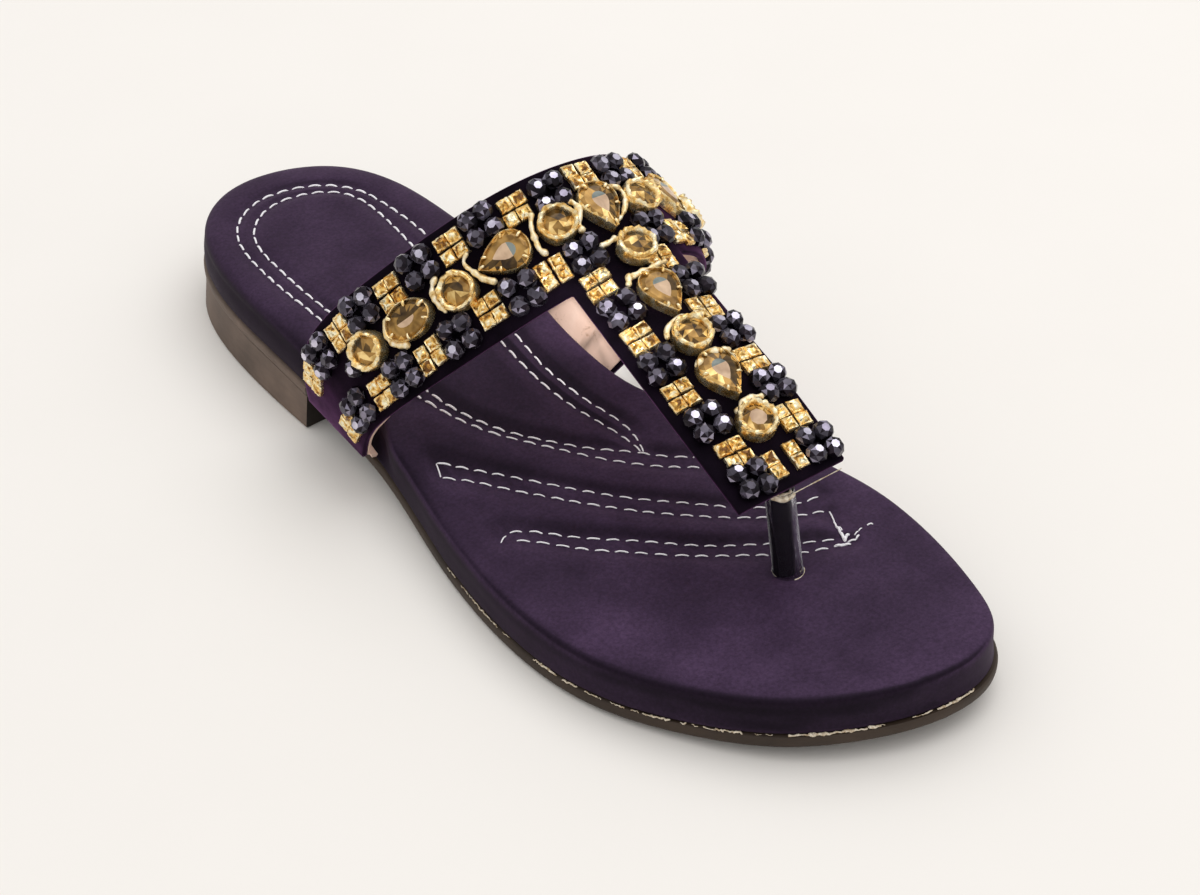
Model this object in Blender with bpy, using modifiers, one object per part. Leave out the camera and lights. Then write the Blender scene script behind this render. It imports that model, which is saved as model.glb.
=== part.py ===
"""Right-foot toe post sandal with a jewelled T-strap.

Sizes are in millimetres until a mesh is made. While the shoe is laid out, x grows towards its
outer side, y runs from the back of the heel to the toe, and z = 0 is the floor. At the end one
empty carries every piece so that the bottom centre of the shoe's box is the origin.
"""
import math

import bmesh
import bpy
import numpy as np
from mathutils import Matrix, Vector
from mathutils.bvhtree import BVHTree

NAME = "toe_post_sandal"
MM = 0.001
GAP = 0.3

# ---- sole ----
SOLE_LENGTH = 255.0
HEEL_BACK_X = 0.0
TOE_TIP_X = -9.5
# Outline of the outsole, a row for each section: y, inner edge x, outer edge x.
SOLE_SECTIONS = (
    (13, -25.3, 22.8),
    (31, -31.4, 30.2),
    (56, -31.5, 34.0),
    (84, -29.5, 35.5),
    (110, -27.5, 37.0),
    (135, -28.5, 42.5),
    (158, -33.5, 47.5),
    (178, -39.0, 49.5),
    (199, -41.0, 47.5),
    (219, -38.0, 39.5),
    (237, -31.7, 27.3),
    (249, -24.5, 11.2),
)
OUTLINE_STEPS = 40
SPINE_BACK_Y = 32.0
SPINE_FRONT_Y = 212.0

OUTSOLE_THICKNESS = 3.0
HEEL_HEIGHT = 10.4
ARCH_BACK_Y = 56.0
ARCH_FRONT_Y = 148.0
SPRING_START_Y = 173.0
TOE_SPRING = 5.3

HEEL_LENGTH = 76.5
HEEL_INSET_TOP = 0.4
HEEL_FLARE = 0.7
HEEL_STEPS = 16

# ---- footbed ----
FOOTBED_INSET = 0.8
FOOTBED_INSET_TOE = 1.7
TOE_INSET_START_Y = 205.0
FOOTBED_THICKNESS_HEEL = 10.0
FOOTBED_THICKNESS_BALL = 9.5
# The padded edge, a row for each ring: distance in from the side, share of the thickness.
FOOTBED_EDGE = (
    (0.7, 0.0),
    (0.0, 0.2),
    (0.1, 0.5),
    (0.9, 0.75),
    (2.7, 0.91),
    (6.5, 0.98),
)

# ---- upper: the instep band and the bar that runs to the toe post ----
WALL = 2.2
# The band's outer face, a row for each section across it: place along the band, then
# x, y, z of its back edge and x, y, z of its front edge. The first row is the foot of the
# outer leg and the last that of the inner leg.
BAND_SECTIONS = (
    (-98, 37.7, 81.5, 11.9, 38.5, 104.5, 8.2),
    (-84, 39.9, 85.0, 29.0, 39.3, 109.5, 18.5),
    (-70, 36.5, 92.0, 42.5, 36.0, 117.5, 29.0),
    (-56, 29.3, 99.0, 52.3, 29.0, 125.3, 38.3),
    (-42, 20.5, 105.5, 61.0, 20.5, 132.3, 46.7),
    (-28, 10.0, 111.3, 68.5, 10.5, 138.3, 54.2),
    (-14, -2.3, 115.5, 73.3, -1.7, 142.6, 59.5),
    (0, -16.0, 117.4, 74.1, -15.4, 144.7, 61.1),
    (14, -29.3, 116.4, 70.3, -28.7, 144.6, 57.0),
    (28, -39.0, 112.5, 61.5, -37.6, 141.0, 48.7),
    (42, -44.0, 107.5, 49.7, -41.0, 135.2, 37.5),
    (56, -41.0, 101.8, 36.8, -37.3, 129.0, 26.0),
    (70, -35.6, 96.3, 24.0, -32.0, 122.6, 15.2),
    (84, -31.0, 91.5, 10.4, -29.6, 116.5, 6.3),
)
BAND_COLUMNS = 6
LEG_STEPS = 15
# On the inner side the band bulges outwards, most at two thirds of its width.
BULGE = 1.5
BULGE_WAY = (-0.8, 0.25, 0.55)
BAR_BACK_OUTER = -19.4
BAR_BACK_INNER = 11.0
BAR_COLUMNS = 6
BAR_ROWS = 13
# The bar's two edges, a row for each section: share of its length, then x, y, z of the outer
# edge and x, y, z of the inner edge. Its first section is the band's own front edge.
BAR_SECTIONS = (
    (0.33, 6.2, 162.3, 51.8, -23.6, 164.8, 52.4),
    (0.67, 8.5, 183.4, 44.8, -21.4, 185.8, 46.2),
    (1.0, 10.8, 204.5, 37.8, -18.9, 206.2, 38.2),
)

# ---- toe post ----
POST_FOOT = (-4.6, 204.6)
POST_TOP = (-3.2, 201.8)
SLEEVE_RADIUS = 3.4
SLEEVE_BORE = 2.6
CORE_RADIUS = 2.3
POST_SEGMENTS = 20
POST_TOP_GAP = 0.35
HOLE_CLEARANCE = 0.4

# ---- set stones ----
# kind: length, width of the setting
STONE_SIZES = {
    "round": (9.4, 9.4),
    "oval": (12.6, 9.0),
    "drop": (13.2, 9.6),
}
# Stones of the band: name, kind, place along the band, share of its width, turn in degrees.
# A drop points along its turn, and zero is towards the inner leg.
BAND_STONES = (
    ("outer_1", "round", -66.0, 0.48, 0),
    ("outer_2", "oval", -53.0, 0.48, 0),
    ("outer_3", "round", -39.5, 0.52, 0),
    ("outer_4", "drop", -26.5, 0.48, 180),
    ("outer_5", "round", -12.9, 0.48, 0),
    ("middle", "drop", -1.9, 0.49, -90),
    ("inner_1", "round", 8.9, 0.5, 0),
    ("inner_2", "drop", 18.8, 0.5, -90),
    ("inner_3", "round", 28.7, 0.6, 0),
    ("inner_4", "oval", 41.3, 0.56, 0),
    ("inner_5", "round", 54.4, 0.51, 0),
)
# Stones of the bar: name, kind, share of the bar's length, share of its width from the outer
# edge, turn in degrees from the way to the toe.
BAR_STONES = (
    ("bar_1", "round", -0.03, 0.58, 0),
    ("bar_2", "drop", 0.17, 0.55, 0),
    ("bar_3", "round", 0.37, 0.53, 0),
    ("bar_4", "drop", 0.552, 0.53, 0),
    ("bar_5", "round", 0.757, 0.53, 0),
)
STONE_SEGMENTS = 12
SETTING_HEIGHT = 2.0
SETTING_FLOOR = 0.5
SETTING_WALL = 0.7
CRYSTAL_HEIGHT = 2.3
CRYSTAL_TABLE = 0.52

# ---- materials: colour, roughness, metallic ----
FINISHES = {
    "outsole": ((0.085, 0.068, 0.055), 0.6, 0.0),
    "heel_block": ((0.08, 0.064, 0.052), 0.6, 0.0),
    "footbed": ((0.045, 0.028, 0.065), 0.55, 0.0),
    "upper": ((0.02, 0.009, 0.028), 0.85, 0.0),
    "toe_post_sleeve": ((0.55, 0.55, 0.6), 0.1, 0.0),
    "toe_post_core": ((0.01, 0.01, 0.012), 0.5, 0.0),
    "setting": ((0.75, 0.5, 0.16), 0.25, 1.0),
    "crystal": ((0.42, 0.27, 0.1), 0.08, 0.0),
}


# ---------------------------------------------------------------- helpers

def clear_scene():
    for obj in list(bpy.data.objects):
        bpy.data.objects.remove(obj, do_unlink=True)


def new_collection(name):
    collection = bpy.data.collections.new(name)
    bpy.context.scene.collection.children.link(collection)
    return collection


def new_material(name, finish):
    colour, roughness, metallic = FINISHES[finish]
    material = bpy.data.materials.new(name)
    material.use_nodes = True
    shader = material.node_tree.nodes["Principled BSDF"]
    shader.inputs["Base Color"].default_value = (*colour, 1.0)
    shader.inputs["Roughness"].default_value = roughness
    shader.inputs["Metallic"].default_value = metallic
    return material


def spline(knots, values):
    """A natural cubic spline through rows of values, as a function of one number."""
    knots = np.asarray(knots, float)
    values = np.asarray(values, float)
    count = len(knots)
    steps = np.diff(knots)
    system = np.eye(count)
    right = np.zeros_like(values)
    for i in range(1, count - 1):
        system[i, i - 1] = steps[i - 1]
        system[i, i] = 2.0 * (steps[i - 1] + steps[i])
        system[i, i + 1] = steps[i]
        right[i] = 6.0 * ((values[i + 1] - values[i]) / steps[i]
                          - (values[i] - values[i - 1]) / steps[i - 1])
    bend = np.linalg.solve(system, right)

    def at(place):
        i = int(np.clip(np.searchsorted(knots, place) - 1, 0, count - 2))
        h = steps[i]
        a = (knots[i + 1] - place) / h
        b = (place - knots[i]) / h
        curve = ((a ** 3 - a) * bend[i] + (b ** 3 - b) * bend[i + 1]) * h * h / 6.0
        return a * values[i] + b * values[i + 1] + curve

    return at


def smooth_step(value, start, stop):
    share = min(max((value - start) / (stop - start), 0.0), 1.0)
    return share * share * (3.0 - 2.0 * share)


def mesh_from_rings(name, rings, closed_start=True, closed_end=True):
    """Quads between rings of equal length. A ring that is one repeated point closes an end."""
    mesh_builder = bmesh.new()
    verts = [[mesh_builder.verts.new(Vector(p) * MM) for p in ring] for ring in rings]
    size = len(rings[0])
    for lower, upper in zip(verts, verts[1:]):
        for i in range(size):
            j = (i + 1) % size
            mesh_builder.faces.new((lower[i], lower[j], upper[j], upper[i]))
    if closed_start:
        mesh_builder.faces.new(verts[0][::-1])
    if closed_end:
        mesh_builder.faces.new(verts[-1])
    return finish_mesh(name, mesh_builder)


def finish_mesh(name, mesh_builder):
    bmesh.ops.remove_doubles(mesh_builder, verts=mesh_builder.verts, dist=0.00002)
    bmesh.ops.dissolve_degenerate(mesh_builder, dist=0.00001, edges=mesh_builder.edges)
    bmesh.ops.recalc_face_normals(mesh_builder, faces=mesh_builder.faces)
    mesh = bpy.data.meshes.new(name)
    mesh_builder.to_mesh(mesh)
    mesh_builder.free()
    mesh.shade_smooth()
    mesh.set_sharp_from_angle(angle=math.radians(40))
    return mesh


def add_object(name, mesh, collection, finish=None):
    obj = bpy.data.objects.new(name, mesh)
    collection.objects.link(obj)
    if finish and not mesh.materials:
        mesh.materials.append(new_material(name, finish))
    return obj


# ---------------------------------------------------------------- sole

def sole_angle(y):
    """The sole's length as half a turn, so that its round ends come out smooth."""
    return math.acos(1.0 - 2.0 * y / SOLE_LENGTH)


def sole_edges():
    rows = [(0.0, HEEL_BACK_X, HEEL_BACK_X)]
    rows += [(sole_angle(y), inner, outer) for y, inner, outer in SOLE_SECTIONS]
    rows += [(math.pi, TOE_TIP_X, TOE_TIP_X)]
    table = np.array(rows)
    return spline(table[:, 0], table[:, 1:])


SOLE_EDGE = sole_edges()


def sole_outline():
    """Points of the outsole's edge: along the outer side to the toe and back along the inner."""
    angles = [math.pi * i / OUTLINE_STEPS for i in range(OUTLINE_STEPS + 1)]
    ys = [SOLE_LENGTH * (1.0 - math.cos(a)) / 2.0 for a in angles]
    outer = [(SOLE_EDGE(a)[1], y) for a, y in zip(angles, ys)]
    inner = [(SOLE_EDGE(a)[0], y) for a, y in zip(angles, ys)]
    return outer + inner[-2:0:-1]


def spine_point(y):
    """The middle line of the sole, which the rings of its flat faces shrink to."""
    along = min(max(y, SPINE_BACK_Y), SPINE_FRONT_Y)
    inner, outer = SOLE_EDGE(sole_angle(along))
    return (inner + outer) / 2.0, along


def inset_ring(outline, inset):
    """The outline moved in towards the spine by a distance, or by one distance a point."""
    insets = inset if isinstance(inset, (list, tuple)) else [inset] * len(outline)
    ring = []
    for (x, y), distance in zip(outline, insets):
        sx, sy = spine_point(y)
        reach = math.hypot(x - sx, y - sy)
        share = max(1.0 - distance / reach, 0.0)
        ring.append((sx + (x - sx) * share, sy + (y - sy) * share))
    return ring


def shrunk_ring(ring, share):
    result = []
    for x, y in ring:
        sx, sy = spine_point(y)
        result.append((sx + (x - sx) * share, sy + (y - sy) * share))
    return result


def underside(y):
    """Height of the outsole's underside: over the heel, down the arch, flat, up to the toe."""
    arch = HEEL_HEIGHT * (1.0 - smooth_step(y, ARCH_BACK_Y, ARCH_FRONT_Y))
    lift = max((y - SPRING_START_Y) / (SOLE_LENGTH - SPRING_START_Y), 0.0)
    return arch + TOE_SPRING * lift ** 2


def at_height(ring, height):
    return [(x, y, height(y)) for x, y in ring]


def build_outsole(collection):
    outline = sole_outline()
    edge = inset_ring(outline, 0.5)
    step = OUTSOLE_THICKNESS
    rings = [
        at_height(shrunk_ring(outline, 0.0), underside),
        at_height(shrunk_ring(outline, 0.55), underside),
        at_height(edge, underside),
        at_height(outline, lambda y: underside(y) + 0.2 * step),
        at_height(outline, lambda y: underside(y) + 0.8 * step),
        at_height(edge, lambda y: underside(y) + step),
        at_height(shrunk_ring(outline, 0.55), lambda y: underside(y) + step),
        at_height(shrunk_ring(outline, 0.0), lambda y: underside(y) + step),
    ]
    mesh = mesh_from_rings("outsole", rings, closed_start=False, closed_end=False)
    return add_object("outsole", mesh, collection, "outsole")


def build_heel(collection):
    """A block under the back of the outsole, its front face square across the shoe."""
    sections = []
    for i in range(HEEL_STEPS + 1):
        y = HEEL_LENGTH * (1.0 - math.cos(math.pi / 2.0 * i / HEEL_STEPS))
        inner, outer = SOLE_EDGE(sole_angle(y))
        middle = (outer + inner) / 2.0
        half = (outer - inner) / 2.0
        share = i / HEEL_STEPS
        half_top = max(half - HEEL_INSET_TOP, 0.0)
        half_foot = half + HEEL_FLARE if i else 0.0
        y_top = y + HEEL_INSET_TOP * (1.0 - share)
        y_foot = y - HEEL_FLARE * (1.0 - share)
        top = underside(y_top) - GAP
        sections.append((
            (middle + half_foot, y_foot, 0.0),
            (middle + half_top, y_top, top),
            (middle - half_top, y_top, top),
            (middle - half_foot, y_foot, 0.0),
        ))
    mesh = mesh_from_rings("heel_block", sections, closed_start=False)
    return add_object("heel_block", mesh, collection, "heel_block")


# ---------------------------------------------------------------- footbed

def footbed_bottom(y):
    return underside(y) + OUTSOLE_THICKNESS + GAP


def footbed_thickness(y):
    share = smooth_step(y, 50.0, 150.0)
    return FOOTBED_THICKNESS_HEEL + (FOOTBED_THICKNESS_BALL - FOOTBED_THICKNESS_HEEL) * share


def footbed_top(y):
    return footbed_bottom(y) + footbed_thickness(y)


def footbed_inset(y):
    toe = smooth_step(y, TOE_INSET_START_Y, SOLE_LENGTH)
    return FOOTBED_INSET + (FOOTBED_INSET_TOE - FOOTBED_INSET) * toe


def post_drill():
    """A cutter along the leaning toe post, a little wider than its sleeve."""
    foot = Vector((*POST_FOOT, footbed_bottom(POST_FOOT[1])))
    top = Vector((*POST_TOP, bar_underside(*POST_TOP)))
    axis = (top - foot).normalized()
    bpy.ops.mesh.primitive_cylinder_add(
        vertices=POST_SEGMENTS, radius=(SLEEVE_RADIUS + HOLE_CLEARANCE) * MM, depth=30.0 * MM)
    drill = bpy.context.object
    drill.name = "post_hole_cutter"
    drill.location = (foot + axis * 8.0) * MM
    drill.rotation_euler = axis.to_track_quat("Z", "Y").to_euler()
    drill.hide_render = True
    drill.display_type = "WIRE"
    for linked in list(drill.users_collection):
        linked.objects.unlink(drill)
    return drill


def build_footbed(collection, cutters):
    outline = sole_outline()
    side = [footbed_inset(y) for _, y in outline]
    rings = []
    innermost = inset_ring(outline, [s + FOOTBED_EDGE[0][0] for s in side])
    rings.append(at_height(shrunk_ring(innermost, 0.0), footbed_bottom))
    rings.append(at_height(shrunk_ring(innermost, 0.5), footbed_bottom))
    for inset, share in FOOTBED_EDGE:
        ring = inset_ring(outline, [s + inset for s in side])
        rings.append(at_height(ring, lambda y, k=share: footbed_bottom(y) + k * footbed_thickness(y)))
    last = inset_ring(outline, [s + FOOTBED_EDGE[-1][0] for s in side])
    rings.append(at_height(shrunk_ring(last, 0.5), footbed_top))
    rings.append(at_height(shrunk_ring(last, 0.0), footbed_top))
    mesh = mesh_from_rings("footbed", rings, closed_start=False, closed_end=False)
    footbed = add_object("footbed", mesh, collection, "footbed")

    drill = post_drill()
    cutters.objects.link(drill)
    cut = footbed.modifiers.new("post_hole", "BOOLEAN")
    cut.operation = "DIFFERENCE"
    cut.object = drill
    return footbed


# ---------------------------------------------------------------- upper

BAND = spline([row[0] for row in BAND_SECTIONS], [row[1:] for row in BAND_SECTIONS])


def band_point(place, share):
    """A point on the band's outer face: place along it, share of its width from the back."""
    row = BAND(place)
    bulge = BULGE * smooth_step(place, 4.0, 26.0) * (1.0 - smooth_step(place, 50.0, 78.0))
    swell = np.array(BULGE_WAY) * bulge * 6.75 * share * share * (1.0 - share)
    return row[:3] * (1.0 - share) + row[3:] * share + swell


def bar_edges():
    start = np.concatenate([band_point(BAR_BACK_OUTER, 1.0), band_point(BAR_BACK_INNER, 1.0)])
    knots = [0.0] + [row[0] for row in BAR_SECTIONS]
    rows = [start] + [np.array(row[1:]) for row in BAR_SECTIONS]
    return spline(knots, rows)


BAR = bar_edges()


def bar_point(along, across):
    """A point on the bar's outer face: share of its length, share of its width."""
    edges = BAR(along)
    flat = edges[:3] * (1.0 - across) + edges[3:] * across
    root = BAR(0.0)
    place = BAR_BACK_OUTER + (BAR_BACK_INNER - BAR_BACK_OUTER) * across
    crown = band_point(place, 1.0) - (root[:3] * (1.0 - across) + root[3:] * across)
    return flat + crown * (1.0 - max(along, 0.0))


def steps_between(start, stop, count):
    return [start + (stop - start) * i / count for i in range(count)]


def build_upper(collection):
    """The open outer face of the T, thickened inwards to the wall of the strap."""
    places = steps_between(BAND_SECTIONS[0][0], BAR_BACK_OUTER, LEG_STEPS)
    bar_start = len(places)
    places += steps_between(BAR_BACK_OUTER, BAR_BACK_INNER, BAR_COLUMNS)
    places += steps_between(BAR_BACK_INNER, BAND_SECTIONS[-1][0], LEG_STEPS)
    places.append(BAND_SECTIONS[-1][0])

    builder = bmesh.new()
    band = []
    for place in places:
        points = [band_point(place, i / BAND_COLUMNS) for i in range(BAND_COLUMNS + 1)]
        band.append([builder.verts.new(Vector(p) * MM) for p in points])
    for near, far in zip(band, band[1:]):
        for i in range(BAND_COLUMNS):
            builder.faces.new((near[i], near[i + 1], far[i + 1], far[i]))

    front = [band[bar_start + i][-1] for i in range(BAR_COLUMNS + 1)]
    for row in range(1, BAR_ROWS + 1):
        points = [bar_point(row / BAR_ROWS, i / BAR_COLUMNS) for i in range(BAR_COLUMNS + 1)]
        ahead = [builder.verts.new(Vector(p) * MM) for p in points]
        for i in range(BAR_COLUMNS):
            builder.faces.new((front[i], ahead[i], ahead[i + 1], front[i + 1]))
        front = ahead

    bmesh.ops.recalc_face_normals(builder, faces=builder.faces)
    builder.faces.ensure_lookup_table()
    top = max(builder.faces, key=lambda face: face.calc_center_median().z)
    if top.normal.z < 0.0:
        bmesh.ops.reverse_faces(builder, faces=builder.faces)
    mesh = bpy.data.meshes.new("upper")
    builder.to_mesh(mesh)
    builder.free()
    mesh.shade_smooth()
    upper = add_object("upper", mesh, collection, "upper")
    wall = upper.modifiers.new("wall", "SOLIDIFY")
    wall.thickness = WALL * MM
    wall.offset = -1.0
    wall.use_even_offset = True
    return upper


# ---------------------------------------------------------------- toe post

def post_axis(height, foot_height, top_height):
    share = (height - foot_height) / (top_height - foot_height)
    x = POST_FOOT[0] + (POST_TOP[0] - POST_FOOT[0]) * share
    y = POST_FOOT[1] + (POST_TOP[1] - POST_FOOT[1]) * share
    return x, y


def bar_underside(x, y):
    """Height of the bar's inner face near its front end."""
    back = BAR(0.8)
    front = BAR(1.0)
    slope = (front[2] - back[2]) / (front[1] - back[1])
    across = (front[0] - x) / (front[0] - front[3])
    edge_y = front[1] + (front[4] - front[1]) * across
    edge_z = front[2] + (front[5] - front[2]) * across
    wall_down = WALL * math.sqrt(1.0 + slope * slope)
    return edge_z + slope * (y - edge_y) - wall_down


def post_rings(radius, foot_gap, top_gap):
    """Rings of a leaning round bar whose top follows the slope of the strap above it."""
    foot = footbed_bottom(POST_FOOT[1]) - GAP + foot_gap
    top = bar_underside(*POST_TOP)
    rings = []
    for share in (0.0, 0.35, 0.65, 1.0):
        ring = []
        height = foot + (top - foot) * share
        cx, cy = post_axis(height, foot, top)
        for i in range(POST_SEGMENTS):
            angle = 2.0 * math.pi * i / POST_SEGMENTS
            x = cx + radius * math.cos(angle)
            y = cy + radius * math.sin(angle)
            z = height if share < 1.0 else bar_underside(x, y) - top_gap
            ring.append((x, y, z))
        rings.append(ring)
    return rings


def build_toe_post(collection):
    outside = post_rings(SLEEVE_RADIUS, GAP, POST_TOP_GAP)
    bore = post_rings(SLEEVE_BORE, GAP, POST_TOP_GAP)
    rings = outside + bore[::-1] + outside[:1]
    mesh = mesh_from_rings("toe_post_sleeve", rings, closed_start=False, closed_end=False)
    add_object("toe_post_sleeve", mesh, collection, "toe_post_sleeve")
    core = mesh_from_rings("toe_post_core", post_rings(CORE_RADIUS, GAP, POST_TOP_GAP))
    add_object("toe_post_core", core, collection, "toe_post_core")


# ---------------------------------------------------------------- set stones

def stone_outline(kind, margin):
    """Outline of a stone's setting, moved in by a margin. A drop's point is at +x."""
    length, width = STONE_SIZES[kind]
    points = []
    for i in range(STONE_SEGMENTS):
        angle = 2.0 * math.pi * i / STONE_SEGMENTS
        x = (length / 2.0 - margin) * math.cos(angle)
        y = (width / 2.0 - margin) * math.sin(angle)
        if kind == "drop":
            y *= 1.0 - 0.42 * math.cos(angle)
            y *= 1.0 - 0.12 * math.cos(angle) ** 2
        points.append((x, y))
    return points


def flat_ring(outline, height, share=1.0):
    return [(x * share, y * share, height) for x, y in outline]


def setting_mesh(kind):
    outer = stone_outline(kind, 0.0)
    inner = stone_outline(kind, SETTING_WALL)
    rings = [
        flat_ring(outer, 0.0),
        flat_ring(outer, SETTING_HEIGHT),
        flat_ring(inner, SETTING_HEIGHT),
        flat_ring(inner, SETTING_FLOOR),
    ]
    return mesh_from_rings("setting_" + kind, rings)


def crystal_mesh(kind):
    girdle = stone_outline(kind, SETTING_WALL + GAP)
    foot = SETTING_FLOOR + GAP
    middle = foot + 0.45 * CRYSTAL_HEIGHT
    top = foot + CRYSTAL_HEIGHT
    rings = [
        flat_ring(girdle, foot),
        flat_ring(girdle, middle),
        flat_ring(girdle, top, CRYSTAL_TABLE),
    ]
    mesh = mesh_from_rings("crystal_" + kind, rings)
    mesh.shade_flat()
    return mesh


def stone_frame(point, forward, sideways, turn):
    """A matrix on the strap's outer face: x along the stone, z out of the strap."""
    x_axis = Vector(forward).normalized()
    z_axis = x_axis.cross(Vector(sideways)).normalized()
    outward = Vector(point) - Vector((0.0, point[1], 25.0))
    if z_axis.dot(outward) < 0.0:
        z_axis.negate()
    y_axis = z_axis.cross(x_axis)
    base = Matrix((x_axis, y_axis, z_axis)).transposed().to_4x4()
    spin = Matrix.Rotation(math.radians(turn), 4, "Z")
    return Matrix.Translation(Vector(point) * MM) @ base @ spin


def band_stone_frame(place, share, turn):
    point = band_point(place, share)
    forward = band_point(place + 2.0, share) - band_point(place - 2.0, share)
    sideways = band_point(place, share + 0.05) - band_point(place, share - 0.05)
    return stone_frame(point, forward, sideways, turn)


def bar_stone_frame(along, across, turn):
    point = bar_point(along, across)
    forward = bar_point(along + 0.03, across) - bar_point(along - 0.03, across)
    sideways = bar_point(along, across + 0.05) - bar_point(along, across - 0.05)
    return stone_frame(point, forward, sideways, turn)


def strap_surface(upper):
    bpy.context.view_layer.update()
    graph = bpy.context.evaluated_depsgraph_get()
    return BVHTree.FromObject(upper, graph)


def seated(frame, kind, surface):
    """The frame raised along its own z until the whole foot of the setting clears the strap."""
    down = -frame.col[2].to_3d().normalized()
    lift = -math.inf
    for share in (0.0, 0.5, 1.0):
        for x, y, z in flat_ring(stone_outline(kind, 0.0), 0.0, share):
            start = frame @ (Vector((x, y, z)) * MM) - down * 6.0 * MM
            hit, _, _, distance = surface.ray_cast(start, down, 12.0 * MM)
            if hit is not None:
                lift = max(lift, 6.0 - distance / MM)
    return Matrix.Translation(-down * (lift + GAP) * MM) @ frame


def build_stones(collection, upper):
    settings = {kind: setting_mesh(kind) for kind in STONE_SIZES}
    crystals = {kind: crystal_mesh(kind) for kind in STONE_SIZES}
    surface = strap_surface(upper)
    frames = [(name, kind, band_stone_frame(place, share, turn))
              for name, kind, place, share, turn in BAND_STONES]
    frames += [(name, kind, bar_stone_frame(along, across, turn))
               for name, kind, along, across, turn in BAR_STONES]
    for name, kind, frame in frames:
        place = seated(frame, kind, surface)
        setting = add_object("setting_" + name, settings[kind], collection, "setting")
        setting.matrix_world = place
        crystal = add_object("crystal_" + name, crystals[kind], collection, "crystal")
        crystal.matrix_world = place


# ---------------------------------------------------------------- assembly

def box_of(collection):
    bpy.context.view_layer.update()
    graph = bpy.context.evaluated_depsgraph_get()
    low = np.full(3, np.inf)
    high = np.full(3, -np.inf)
    for obj in collection.objects:
        evaluated = obj.evaluated_get(graph)
        mesh = evaluated.to_mesh()
        for vert in mesh.vertices:
            point = np.array(evaluated.matrix_world @ vert.co)
            low = np.minimum(low, point)
            high = np.maximum(high, point)
        evaluated.to_mesh_clear()
    return low, high


def centre_on_origin(collection, cutters):
    low, high = box_of(collection)
    carrier = bpy.data.objects.new("shoe_origin", None)
    bpy.context.scene.collection.objects.link(carrier)
    for obj in list(collection.objects) + list(cutters.objects):
        obj.parent = carrier
    carrier.location = (-(low[0] + high[0]) / 2.0, -(low[1] + high[1]) / 2.0, 0.0)
    bpy.context.view_layer.update()


def main():
    clear_scene()
    shoe = new_collection(NAME)
    cutters = new_collection("cutters")
    build_outsole(shoe)
    build_heel(shoe)
    build_footbed(shoe, cutters)
    upper = build_upper(shoe)
    build_toe_post(shoe)
    build_stones(shoe, upper)
    centre_on_origin(shoe, cutters)


main()
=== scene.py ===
"""Right-foot toe post sandal with a jewelled T-strap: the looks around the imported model.

Shapes are laid out in millimetres as the CAD is: x grows towards the outer side, y runs from the
back of the heel to the toe and z = 0 is the floor. to_row() carries them to the row frame.
"""
from math import acos, cos, exp, hypot, pi, radians, sin, sqrt

import bmesh
import bpy
import numpy as np
from mathutils import Matrix, Vector, noise
from mathutils.bvhtree import BVHTree


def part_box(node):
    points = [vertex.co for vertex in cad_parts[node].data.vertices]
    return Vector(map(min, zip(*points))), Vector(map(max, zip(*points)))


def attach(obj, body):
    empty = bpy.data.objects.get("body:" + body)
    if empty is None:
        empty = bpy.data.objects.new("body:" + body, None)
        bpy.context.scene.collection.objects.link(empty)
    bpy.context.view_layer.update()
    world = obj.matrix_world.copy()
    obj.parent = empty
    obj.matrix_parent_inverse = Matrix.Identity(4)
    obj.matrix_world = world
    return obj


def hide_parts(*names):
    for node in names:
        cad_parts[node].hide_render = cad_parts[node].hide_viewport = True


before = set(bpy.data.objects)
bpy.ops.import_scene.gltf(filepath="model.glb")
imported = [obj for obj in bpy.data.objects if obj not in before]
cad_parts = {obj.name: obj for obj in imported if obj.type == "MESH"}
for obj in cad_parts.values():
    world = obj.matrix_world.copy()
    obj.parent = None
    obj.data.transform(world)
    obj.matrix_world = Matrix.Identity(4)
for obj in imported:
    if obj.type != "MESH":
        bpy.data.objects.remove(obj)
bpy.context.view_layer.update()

MM = 0.001
SEED = 11

# ---- sole ----
SOLE_LENGTH = 255
HEEL_BACK_X = 0
TOE_TIP_X = -9.5
CAD_OUTLINE_STEPS = 40
OUTLINE_STEPS = 130
# Outline of the outsole: y, inner edge x, outer edge x.
SOLE_SECTIONS = (
    (13, -25.3, 22.8),
    (31, -31.4, 30.2),
    (56, -31.5, 34),
    (84, -29.5, 35.5),
    (110, -27.5, 37),
    (135, -28.5, 42.5),
    (158, -33.5, 47.5),
    (178, -39, 49.5),
    (199, -41, 47.5),
    (219, -38, 39.5),
    (237, -31.7, 27.3),
    (249, -24.5, 11.2),
)
SPINE_BACK_Y = 32
SPINE_FRONT_Y = 212
OUTSOLE_THICKNESS = 3
HEEL_HEIGHT = 10.4
ARCH_BACK_Y = 56
ARCH_FRONT_Y = 148
SPRING_START_Y = 173
TOE_SPRING = 5.3
HEEL_LENGTH = 76.5
HEEL_INSET_TOP = 0.4
HEEL_FLARE = 0.7
# The heel block's levels as shares of its height, its rounded foot and the gap over it.
HEEL_LEVELS = (0, 0.03, 0.3, 0.6, 1)
HEEL_FOOT_EDGE = 0.35
HEEL_TOP_GAP = 0.02
HEEL_STEPS = 60
# The outsole's rim: inset, share of the thickness.
OUTSOLE_EDGE = ((1.1, 0), (0.45, 0.06), (0.12, 0.2), (0, 0.4), (0, 0.75), (0.08, 0.9),
                (0.4, 1))
FILL_SHARES = (0, 0.3, 0.6, 0.85)

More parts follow.
